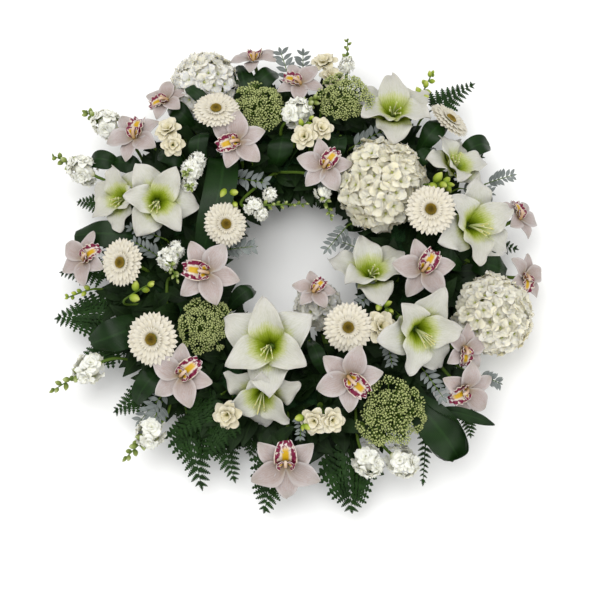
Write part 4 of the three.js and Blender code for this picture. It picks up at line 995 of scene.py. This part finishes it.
def hydrangea(build, row, rng):
    """Four-petalled florets in soft lumps, crowded over a round head."""
    where = head_frame(row)
    radius = row["radius"]
    count = int(0.03 * radius**2 + 8)
    directions = dome_directions(count, -16)
    lumps = dome_directions(9, -10)
    swell = np.exp(-8 * (1 - directions @ lumps.T)).max(axis=1)
    reaches = radius * (0.82 + 0.15 * swell + 0.08 * rng.random(count))
    turns = floret_turns(directions, rng, 0.75)
    places = directions * reaches[:, None]
    tones = 0.4 * rng.random(count) + row.get("cream", 0)
    for kind in range(3):
        petals = []
        for turn in (0, 90, 180, 270):
            petals.append({
                "start": 0.6, "length": 13.0 + 2.5 * rng.random(), "width": 14.0 + 3 * rng.random(),
                "root": 0.25, "cup": 0.1 + 0.2 * rng.random(), "belly": 0.56, "wave": 1.8, "waves": 1.7,
                "pleat": 0.6,
                "turn": turn + 16 * rng.random(), "lean": [36 + 14 * rng.random(), -24 + 22 * rng.random()],
            })
        mine = np.arange(count) % 3 == kind
        add_florets(build, turns[mine], places[mine], petals, (6, 5), where, 0, rng, tones[mine])
    bead = np.array([[0, 0, z] for z in (-0.4, 0.8, 1.9)])
    rings = ring_points(bead, np.array([0.9, 1.3, 0.6]), 6)
    grids = placed(many(rings, turns, places), where)
    build.tubes(grids, tube_maps(grids.shape, 0.8), 1)
    add_core(build, radius * 0.8, 1, -30, where, 1)
    return stem_start(where, radius * 0.5, 4)


def add_core(build, radius, stretch, lowest, where, slot):
    """A rounded core under florets, closed below."""
    angles = np.radians(np.linspace(-80, 86, 14))
    path = np.stack([0 * angles, 0 * angles, radius * stretch * np.sin(angles)], -1)
    below = angles < math.radians(lowest)
    radii = radius * np.cos(angles) * np.where(below, 0.75, 1)
    rings = ring_points(path, radii, 24)[None]
    build.tubes(placed(rings, where), tube_maps(rings.shape, 0.2), slot)


def ammi(build, row, rng):
    """A shallow umbel: rays, each with its own small umbel of tiny florets."""
    where = head_frame(row)
    radius = row["radius"]
    heads = int(radius * 1.15)
    directions = dome_directions(heads, 4)
    squash = np.array([1, 1, 0.5])
    hearts = directions * squash * radius * (0.66 + 0.36 * rng.random((heads, 1)))
    normals = unit(directions / squash)
    base = np.array([0, 0, -radius * 0.25])
    each = 20
    small = dome_directions(each, 8) * [1, 1, 0.6]
    beads = []
    for heart, normal in zip(hearts, normals):
        turn, _ = standing(heart, normal, 360 * rng.random())
        spread = radius * 0.2 * (0.75 + 0.5 * rng.random())
        tips = (small * spread * (0.75 + 0.4 * rng.random((each, 1)))) @ turn.T + heart
        beads.append(tips)
        root = heart - normal * spread * 0.7
        lines = np.stack([np.broadcast_to(root, tips.shape), tips], 1)
        rings = np.stack([ring_points(line, np.array([0.35, 0.25]), 3) for line in lines])
        build.tubes(placed(rings, where), tube_maps(rings.shape, 0.4), 1)
        ray = bezier(base, (base + root) / 2 - UP * 1.5, root, 6)
        build.tube(placed(ray, where), np.linspace(0.9, 0.6, 6), 1, 4)
    tips = np.concatenate(beads)
    add_stars(build, placed(tips, where), where, rng)
    return stem_start(where, radius * 0.25, 2)


def add_stars(build, tips, where, rng):
    """Tiny five-lobed florets."""
    corners = np.arange(10) * math.pi / 5
    reach = np.where(np.arange(10) % 2 == 0, 1.7, 0.7)
    ring = np.stack([reach * np.cos(corners), reach * np.sin(corners), 0.3 * (reach - 1)], -1)
    turns = floret_turns(np.broadcast_to(where[0][:, 2], tips.shape), rng, 0.8)
    sizes = 0.75 + 0.5 * rng.random((len(tips), 1, 1))
    rings = np.einsum("mc,kdc->kmd", ring, turns) * sizes + tips[:, None]
    maps = np.zeros(rings.shape)
    maps[..., 0] = 0.5 + 0.5 * (np.arange(10) % 2 == 0)
    maps[..., 2] = rng.random((len(tips), 1))
    build.stars(rings, turns[..., 2] * 0.45, maps, 0)


def freesia(build, row, rng):
    """A double bloom: rounded petals in rings, from a slim green-yellow funnel."""
    where = head_frame(row)
    span = row["span"]
    rings = ((6, 0.62, 0.5, 58, -12, -0.3), (5, 0.48, 0.44, 68, 12, -0.2), (3, 0.34, 0.34, 80, 44, -0.12))
    for order, (count, length, width, first, last, height) in enumerate(rings):
        forms = []
        for step in range(count):
            forms.append({
                "start": span * 0.05, "length": span * length, "width": span * width, "root": 0.5, "cup": 0.3,
                "lean": [first, last - 22 * rng.random()], "belly": 0.5, "wave": 1.2, "waves": 1.5,
                "turn": (step + 0.5 * order + 0.2 * rng.random()) * 360 / count,
            })
        add_petals(build, forms, (10, 9), raised(where, span * height), 0.7, 0, rng)
    funnel = spine([span * z for z in (-0.62, -0.5, -0.36, -0.22)], where)
    build.tube(funnel, [1.6, 2.2, span * 0.09, span * 0.14], 1, 9)
    return stem_start(where, span * 0.55, 1.8)


def add_bud(build, at, direction, length, radius, slot, tone):
    """An ovoid bud."""
    share = np.linspace(0, 1, 9)
    path = at + direction * (share * length)[:, None]
    build.tube(path, np.maximum(radius * np.sin(math.pi * share**0.85) ** 0.7, 0.25), slot, 9, tone)


def bud_row(build, axis, count, size, stalk, rng, slots):
    """Buds on alternate sides of a stalk, smaller towards its tip."""
    build.tube(axis, np.linspace(stalk, stalk * 0.6, len(axis)), slots[1], 6)
    for order in range(count * 2):
        share = min(1.0, (order / 2 + 0.45) / count)
        point, tangent = point_along(axis, share)
        grade = size * (1.15 - 0.5 * order / (2 * count))
        turn = order * 2.4 + rng.random()
        side = unit(np.cross(tangent, UP))
        outward = math.cos(turn) * side + math.sin(turn) * np.cross(side, tangent)
        lean = unit(tangent * 0.75 + outward)
        tone = 0.3 + 0.6 * rng.random()
        add_bud(build, point + outward * stalk * 0.5, lean, grade * 2.3, grade * 0.75, slots[0], tone)
    point, tangent = point_along(axis, 1.0)
    add_bud(build, point - tangent, tangent, size * 1.6, size * 0.45, slots[0], 0.2)


def freesia_buds(build, row, rng):
    axis = bowed(row["at"], row["to"], 5)
    bud_row(build, axis, row["count"], row["size"] * 0.4, 1.3, rng, (0, 1))
    return axis[0], -point_along(axis, 0)[1], 1.6


STOCK_STRETCH = 1.5
STOCK_LAYERS = ((5, 0.86, 34, -34), (4, 0.6, 58, -4), (3, 0.4, 78, 30))


def stock(build, row, rng):
    """Ruffled double florets round the lower spike, then buds to the tip."""
    size, buds = row.get("size", 17), row.get("buds", 3)
    axis = bowed(row["at"], row["to"], 6 if buds > 0 else 0)
    extent = np.linalg.norm(np.diff(axis, axis=0), axis=1).sum()
    reach = size * STOCK_STRETCH / extent
    point, tangent = point_along(axis, reach * 0.6 if buds > 0 else 0.5)
    where = standing(point, tangent, 0)
    count = row.get("florets", 7) + 2
    directions = dome_directions(count, -34)
    turns = floret_turns(directions, rng, 0.2)
    places = directions * np.array([size, size, size * STOCK_STRETCH]) * 0.74
    form = {"start": 0.5, "root": 0.4, "cup": 0.2, "belly": 0.42, "wave": 2.0, "waves": 1.7}
    petals = []
    for layer, (number, length, first, last) in enumerate(STOCK_LAYERS):
        for step in range(number):
            turn = (step + 0.5 * layer + 0.5 * rng.random()) * 360 / number
            reach_now = size * length * (0.85 + 0.3 * rng.random())
            lean = [first, last - 20 * rng.random()]
            petals.append({**form, "length": reach_now, "width": size * 0.74, "turn": turn, "lean": lean})
    add_florets(build, turns, places, petals, (5, 5), where, 0, rng)
    add_core(build, size * 0.6, STOCK_STRETCH, -40, where, 0)
    if buds > 0:
        start = point_along(axis, min(0.8, reach * 0.9))[0]
        bare = bowed(start, row["to"], 2)
        bud_row(build, bare, buds + 1, max(3.2, size * 0.3), 1.2, rng, (2, 1))
    back = -point_along(axis, 0)[1]
    return axis[0] - back * 4, back, 2


# Leaves


def sawtooth(share, teeth):
    """A toothed edge: 1 at each point and lower in the notches."""
    phase = (share * teeth) % 1
    return np.where(phase < 0.65, 0.25 + 0.75 * (phase / 0.65) ** 0.6, 1 - (phase - 0.65) / 0.35 * 0.75)


def pinna(lobes, rows):
    """One lobed leaflet of a fern frond, 1 long, along +X, its lobes leaning towards its tip."""
    along = np.linspace(0, 1, rows)[:, None]
    across = np.linspace(-1, 1, 3)[None, :]
    shape = np.minimum(1, 0.7 + along * 3) * (1 - along**1.8) ** 0.7
    teeth = np.maximum(sawtooth(along, lobes), np.where(along < 0.12, 0.8, 0))
    half = np.maximum(0.29 * shape * teeth, 0.008)
    x = along + 0.16 * np.abs(across) * shape * (1 - along)
    y = across * half
    z = -0.14 * along**2 + 0.3 * np.abs(y)
    return np.stack(np.broadcast_arrays(x, y, z), -1), grid_map(along, across, 0.5)


PINNA = pinna(6, 25)
SIMPLE_PINNA = pinna(4, 13)


def frond(build, row, rng, pairs=9, leaflet=PINNA):
    """A frond whose lobed leaflets run in pairs along an arched rib, widest near its root."""
    rib = bowed(row["root"], row["tip"], row.get("rise", 9))
    length = np.linalg.norm(np.diff(rib, axis=0), axis=1).sum()
    build.tube(rib, np.linspace(1.2, 0.35, len(rib)), 0, 5)
    directions, places, sizes = [], [], []
    for order in range(pairs):
        share = 0.1 + 0.88 * (order / pairs) ** 0.92
        taper = (1 - share) ** 0.9 * min(1, 0.75 + 1.6 * share) * (0.9 + 0.2 * rng.random())
        reach = row["width"] * 0.62 * taper + 3
        for hand in (-1, 1):
            point, tangent = point_along(rib, min(1, share + 0.012 * hand))
            side = unit(np.cross(UP, tangent))
            droop = 0.16 + 0.14 * (rng.random() - 0.5)
            out = side * hand * reach - UP * droop * reach + tangent * reach * (0.42 + 0.3 * share)
            directions.append(out)
            places.append(point)
            sizes.append(np.linalg.norm(out) * (0.92 + 0.14 * rng.random()))
    directions.append(rib[-1] - rib[-4])
    places.append(rib[-4])
    sizes.append(np.linalg.norm(rib[-1] - rib[-4]) * 1.05)
    hints = np.broadcast_to(UP, (len(places), 3)) + 0.3 * (rng.random((len(places), 3)) - 0.5)
    stamp(build, leaflet, np.array(directions), hints, np.array(places), sizes, 0.5, 0, rng)
    return rib[0], -point_along(rib, 0)[1], 1.6


OVAL = oval_blade(0.42, 11, 3, 0.05, 0.18, 0.95, 0.9)


def sprig(build, row, rng, pairs=6):
    """A grey sprig with oval leaflets in pairs and one at its tip."""
    rib = bowed(row["root"], row["tip"], row.get("rise", 5))
    build.tube(rib, np.linspace(0.9, 0.45, len(rib)), 1, 5)
    directions, places, sizes = [], [], []
    for order in range(pairs):
        share = 0.12 + 0.82 * order / pairs
        point, tangent = point_along(rib, share)
        side = unit(np.cross(UP, tangent))
        reach = row["width"] / 2 * (1.06 - 0.3 * share)
        for hand in (-1, 1):
            lean = 0.45 + 0.5 * rng.random()
            directions.append(side * hand + tangent * lean + UP * (0.08 + 0.5 * (rng.random() - 0.4)))
            places.append(point)
            sizes.append(reach * (0.85 + 0.35 * rng.random()))
    directions.append(rib[-1] - rib[-3])
    places.append(rib[-5])
    sizes.append(np.linalg.norm(rib[-1] - rib[-5]) * 1.02)
    hints = np.broadcast_to(UP, (len(places), 3)) + 0.5 * (rng.random((len(places), 3)) - 0.5)
    stamp(build, OVAL, np.array(directions), hints, np.array(places), sizes, 0.6, 0, rng)
    return rib[0], -point_along(rib, 0)[1], 1.2


def spline(points, steps):
    """A smooth curve through points, by the part's rule: a centripetal Catmull-Rom spline."""
    points = [np.asarray(point, float) for point in points]
    points = [2 * points[0] - points[1], *points, 2 * points[-1] - points[-2]]
    curve = []
    for place in np.linspace(0, len(points) - 3, steps):
        low = min(len(points) - 4, int(place))
        share = place - low
        a, b, c, d = points[low : low + 4]
        before, here, after = (np.linalg.norm(two - one) ** 0.5 for one, two in ((a, b), (b, c), (c, d)))
        leave = ((b - a) / before - (c - a) / (before + here) + (c - b) / here) * here
        arrive = ((c - b) / here - (d - b) / (here + after) + (d - c) / after) * here
        bend = 3 * (c - b) - 2 * leave - arrive
        curl = 2 * (b - c) + leave + arrive
        curve.append(b + share * leave + share**2 * bend + share**3 * curl)
    return np.array(curve)


def loop_leaf(build, row, rng):
    """A broad leaf folded over in a loop, its root and tip tucked in."""
    path = spline(row["path"], 32)
    side = unit(np.asarray(row["side"], float))
    share = np.linspace(0, 1, len(path))
    taper = np.sin(math.pi * (0.02 + row.get("reach", 0.9) * share))
    half = np.maximum(0.5, row["width"] / 2 * taper ** 0.7)
    normal = unit(np.cross(unit(np.gradient(path, axis=0)), side))
    across = np.linspace(-1, 1, 11)
    fold = row.get("fold", 0.12)
    lift = fold * half[:, None] * across[None, :] ** 2
    lift = lift - 0.5 * np.exp(-((across / 0.08) ** 2))[None, :]
    lift = lift + 1.6 * np.sin(share * 12 + rng.random() * 6)[:, None] * np.abs(across)[None, :] ** 3
    reach = (across[None, :] * half[:, None])[..., None]
    grid = path[:, None] + side * reach + normal[:, None] * lift[..., None]
    maps = grid_map(share[:, None], across[None, :], rng.random())
    build.blades(grid[None], maps[None], 0.8, 0)
    return path[0], -unit(path[1] - path[0]), 2.2


# The nodes' fine pieces: what builds them, their materials, their slot and their stems' material
KINDS = {
    "hydrangea": (hydrangea, [HYDRANGEA_PETAL, BUD, STEM], "hydrangea_petal", 2),
    "amaryllis": (amaryllis, [WHITE_PETAL, STAMEN, STEM], "white_petal", 2),
    "orchid": (orchid, [ORCHID_PETAL, ORCHID_LIP, COLUMN, STEM], "orchid_petal", 3),
    "ammi": (ammi, [AMMI_FLORET, STEM], "ammi_green", 1),
    "gerbera": (gerbera, [CREAM_RAY, DISC, STEM], "cream_petal", 2),
    "freesia": (freesia, [FREESIA_PETAL, STEM], "freesia_cream", 1),
    "freesia_buds": (freesia_buds, [BUD, STEM], "freesia_cream", 1),
    "stock": (stock, [STOCK_PETAL, STEM, STOCK_BUD], "stock_cream", 1),
    "aspidistra": (loop_leaf, [DARK_LEAF, STEM], "dark_leaf", 1),
    "sprig": (sprig, [GREY_LEAF, STEM], "grey_leaf", 1),
    "fern": (frond, [FERN_LEAF, STEM], "fern_green", 1),
}
IN_SIDE = ["stock_left", "stock_low_left", "stock_top"]


def plant(kind, name, rows):
    make, materials, slot_name, stem_slot = KINDS[kind]
    build, rng = Surfaces(), draws(name)
    ends = [make(build, row, rng) for row in rows]
    add_stems(build, name, ends, stem_slot, kind == "fern" or name in IN_SIDE)
    return build.piece(f"{name}_fine", materials, slot_name, [name])


# Room kept free in the middle, from the ring's middle: the opening of the wreath
OPENING_LOW = np.array([-51, -23])
OPENING_HIGH = np.array([42, 60])


def extra(kind):
    make, materials, slot_name, stem_slot = KINDS[kind]
    name = EXTRA_NAMES[kind]
    build, rng = Surfaces(), draws(name)
    for row in EXTRAS[kind]:
        start, direction, radius = make(build, row, rng)
        angle = math.atan2(start[1], start[0])
        reach = min(188, max(134, math.hypot(start[0], start[1])))
        foot = np.array([reach * math.cos(angle), reach * math.sin(angle), FOAM_TOP - 10])
        build.tube(stem_path(start, unit(direction - 1.5 * UP), foot, UP), radius, stem_slot, 5)
    return build.piece(name, materials, slot_name)


def reaches_opening(points):
    inside = (points[..., :2] > OPENING_LOW) & (points[..., :2] < OPENING_HIGH)
    return inside.all(axis=-1).any(axis=tuple(range(1, points.ndim - 1)))


def hides_a_bloom(points):
    """Which leaves, points (k, n, 3), would stand in front of a bloom."""
    hides = np.zeros(len(points), bool)
    for kind in ("amaryllis", "orchid", "gerbera", "freesia"):
        for row in (row for rows in LAYOUT[kind].values() for row in rows):
            front = facing(row["tilt"])
            away = points - np.array(row["at"])
            ahead = away @ front
            aside = np.linalg.norm(away - ahead[..., None] * front, axis=-1)
            hides |= ((aside < row["span"] / 2) & (ahead > -8) & (ahead < 60)).any(axis=1)
    return hides


# Foliage that covers the foam: how many leaves, the radii and heights of their roots,
# their lengths, and how far they lean outwards, sideways and up
LEAF_ZONES = (
    (380, (122, 200), (58, 66), (34, 54), (-1.0, 1.0), (-1.0, 1.0), (0.2, 0.7)),
    (170, (112, 122), (30, 62), (26, 38), (-1.2, -0.6), (-0.8, 0.8), (-0.2, 0.6)),
    (280, (196, 208), (22, 60), (32, 48), (0.6, 1.2), (-0.8, 0.8), (-0.3, 0.45)),
    (300, (196, 222), (46, 70), (36, 54), (0.5, 1.2), (-1.0, 1.0), (-0.1, 0.35)),
    (240, (186, 222), (62, 80), (30, 44), (-0.4, 1.0), (-1.0, 1.0), (0.1, 0.7)),
    (240, (212, 240), (44, 66), (32, 44), (-0.5, 0.7), (-1.0, 1.0), (0.0, 0.5)),
)
BROAD = oval_blade(0.46, 9, 3, 0.08, 0.22, 0.8, 1.0)


def leaf_bed():
    build, rng = Surfaces(), draws("leaf_bed")
    for count, radii, heights, lengths, outward, sideways, upward in LEAF_ZONES:
        turn = (np.arange(count) + rng.random(count)) * 2 * math.pi / count * 7
        radial = np.stack([np.cos(turn), np.sin(turn), 0 * turn], -1)
        around = np.stack([-np.sin(turn), np.cos(turn), 0 * turn], -1)
        places = radial * rng.uniform(*radii, count)[:, None] + UP * rng.uniform(*heights, count)[:, None]
        lean = [rng.uniform(*reach, count)[:, None] for reach in (outward, sideways, upward)]
        directions = unit(radial * lean[0] + around * lean[1] + UP * lean[2])
        sizes = rng.uniform(*lengths, count)
        reaches = sizes[:, None, None] * np.linspace(0.4, 1.15, 4)[:, None]
        ends = places[:, None] + directions[:, None] * reaches
        kept = ~reaches_opening(ends) & ~hides_a_bloom(ends)
        hints = np.broadcast_to(UP, (count, 3)) + 0.9 * (rng.random((count, 3)) - 0.5)
        stamp(build, BROAD, directions[kept], hints[kept], places[kept], sizes[kept], 0.6, 0, rng)
    return build.piece("leaf_bed", [BED_LEAF], "dark_leaf")


def fern_skirt():
    """Low fronds all round the outside, under the blooms, that hide the tray."""
    build, rng = Surfaces(), draws("fern_skirt")
    for step in range(30):
        turn = (step + 0.4 * rng.random()) * 2 * math.pi / 30
        way = np.array([math.cos(turn), math.sin(turn), 0.0])
        swing = np.array([-way[1], way[0], 0.0]) * (rng.random() - 0.5) * 40
        root = way * 196 + UP * rng.uniform(36, 54)
        tip = way * rng.uniform(238, 256) + swing + UP * rng.uniform(12, 30)
        frond(build, {"root": root, "tip": tip, "width": 46, "rise": 12}, rng, pairs=10, leaflet=SIMPLE_PINNA)
    return build.piece("fern_skirt", [FERN_LEAF, STEM], "fern_green")


# Foam ring and tray


LATHE_STEPS = 128


def lathe(build, outline):
    """A closed ring from an outline of radii and heights."""
    radii, heights = np.asarray(outline, float).T
    turn = np.arange(LATHE_STEPS)[:, None] * 2 * math.pi / LATHE_STEPS
    points = np.stack([radii * np.cos(turn), radii * np.sin(turn), heights + 0 * turn], -1)
    total = points.size // 3
    numbers = build.add_points(points.reshape(-1, 3), np.full((total, 3), 0.5), np.zeros(total, bool))
    numbers = numbers.reshape(LATHE_STEPS, -1)
    onward = np.roll(numbers, -1, axis=0)
    corners = [numbers, onward, np.roll(onward, -1, axis=1), np.roll(numbers, -1, axis=1)]
    build.add_faces(np.stack(corners, axis=-1), 0)


def rounded(corners, radius):
    """An outline with its corners rounded off."""
    corners = np.asarray(corners, float)
    outline = []
    for before, corner, after in zip(np.roll(corners, 1, 0), corners, np.roll(corners, -1, 0)):
        near = corner + unit(before - corner) * radius
        far = corner + unit(after - corner) * radius
        outline.extend(bezier(near, corner, far, 4))
    return np.array(outline)


def foam_and_tray():
    inner, outer = RING_RADIUS - FOAM_HALF_WIDTH, RING_RADIUS + FOAM_HALF_WIDTH
    bottom, shoulder = TRAY_WALL + SEAT_GAP, FOAM_TOP - FOAM_SHOULDER
    corners = [
        [inner, bottom], [outer, bottom], [outer, shoulder], [outer - FOAM_SHOULDER, FOAM_TOP],
        [inner + FOAM_SHOULDER, FOAM_TOP], [inner, shoulder],
    ]
    foam = Surfaces()
    lathe(foam, rounded(corners, 2.5))
    inner, outer = inner - SEAT_GAP, outer + SEAT_GAP
    corners = [
        [inner - TRAY_WALL, 0], [outer + TRAY_WALL, 0], [outer + TRAY_WALL + TRAY_FLARE, TRAY_HEIGHT],
        [outer + TRAY_FLARE, TRAY_HEIGHT], [outer, TRAY_WALL], [inner, TRAY_WALL],
        [inner - TRAY_FLARE, TRAY_HEIGHT], [inner - TRAY_WALL - TRAY_FLARE, TRAY_HEIGHT],
    ]
    tray = Surfaces()
    lathe(tray, rounded(corners, 0.8))
    return [
        foam.piece("foam_ring_fine", [FOAM], "foam", ["foam_ring"]),
        tray.piece("tray_fine", [TRAY], "tray", ["tray"]),
    ]


# Studio
FLOOR_HALF = 6
SKY_STRENGTH = 0.9
LAMP_AIM = (0, 0, 0.05)
CAMERA_ELEVATION = 75
CAMERA_DISTANCE = 2.2
CAMERA_LENS = 103.6
CAMERA_AIM = np.array([4, -56, 100])


def floor():
    mesh = bpy.data.meshes.new("floor")
    corners = [(FLOOR_HALF * x, FLOOR_HALF * y, 0) for x, y in ((-1, -1), (1, -1), (1, 1), (-1, 1))]
    mesh.from_pydata(corners, [], [(0, 1, 2, 3)])
    material = bpy.data.materials.new("floor")
    material.use_nodes = True
    surface = material.node_tree.nodes["Principled BSDF"]
    surface.inputs["Base Color"].default_value = linear((246, 246, 245))
    surface.inputs["Roughness"].default_value = 0.9
    surface.inputs["Specular IOR Level"].default_value = 0.1
    mesh.materials.append(material)
    add_object("floor", mesh)


def lamp(name, place, size, power):
    light = bpy.data.lights.new(name, "AREA")
    light.shape = "SQUARE"
    light.size = size
    light.energy = power
    point_at(add_object(name, light), place, LAMP_AIM)


def point_at(made, place, aim):
    made.location = place
    direction = Vector(aim) - Vector(place)
    made.rotation_euler = direction.to_track_quat("-Z", "Y").to_euler()


def studio():
    world = bpy.data.worlds.new("studio")
    world.use_nodes = True
    sky = world.node_tree.nodes["Background"]
    sky.inputs["Color"].default_value = (1, 1, 1, 1)
    sky.inputs["Strength"].default_value = SKY_STRENGTH
    bpy.context.scene.world = world
    lamp("soft_top", (-0.35, 0.15, 1.9), size=1.3, power=22)
    lamp("soft_side", (1.1, -1.2, 1.2), size=1.2, power=9)
    bpy.context.scene.view_settings.view_transform = "Standard"
    bpy.context.scene.view_settings.look = "None"


def camera():
    lens = bpy.data.cameras.new("camera")
    lens.lens = CAMERA_LENS
    lens.sensor_width = 36
    made = add_object("camera", lens)
    tilt = math.radians(CAMERA_ELEVATION)
    aim = (RING_MIDDLE + CAMERA_AIM) * MM
    place = aim + CAMERA_DISTANCE * np.array([0, -math.cos(tilt), math.sin(tilt)])
    point_at(made, place.tolist(), aim.tolist())
    bpy.context.scene.camera = made


for plant_kind, groups in LAYOUT.items():
    for plant_name, plant_rows in groups.items():
        plant(plant_kind, plant_name, plant_rows)
for plant_kind in EXTRAS:
    extra(plant_kind)
leaf_bed()
fern_skirt()
foam_and_tray()
floor()
studio()
camera()
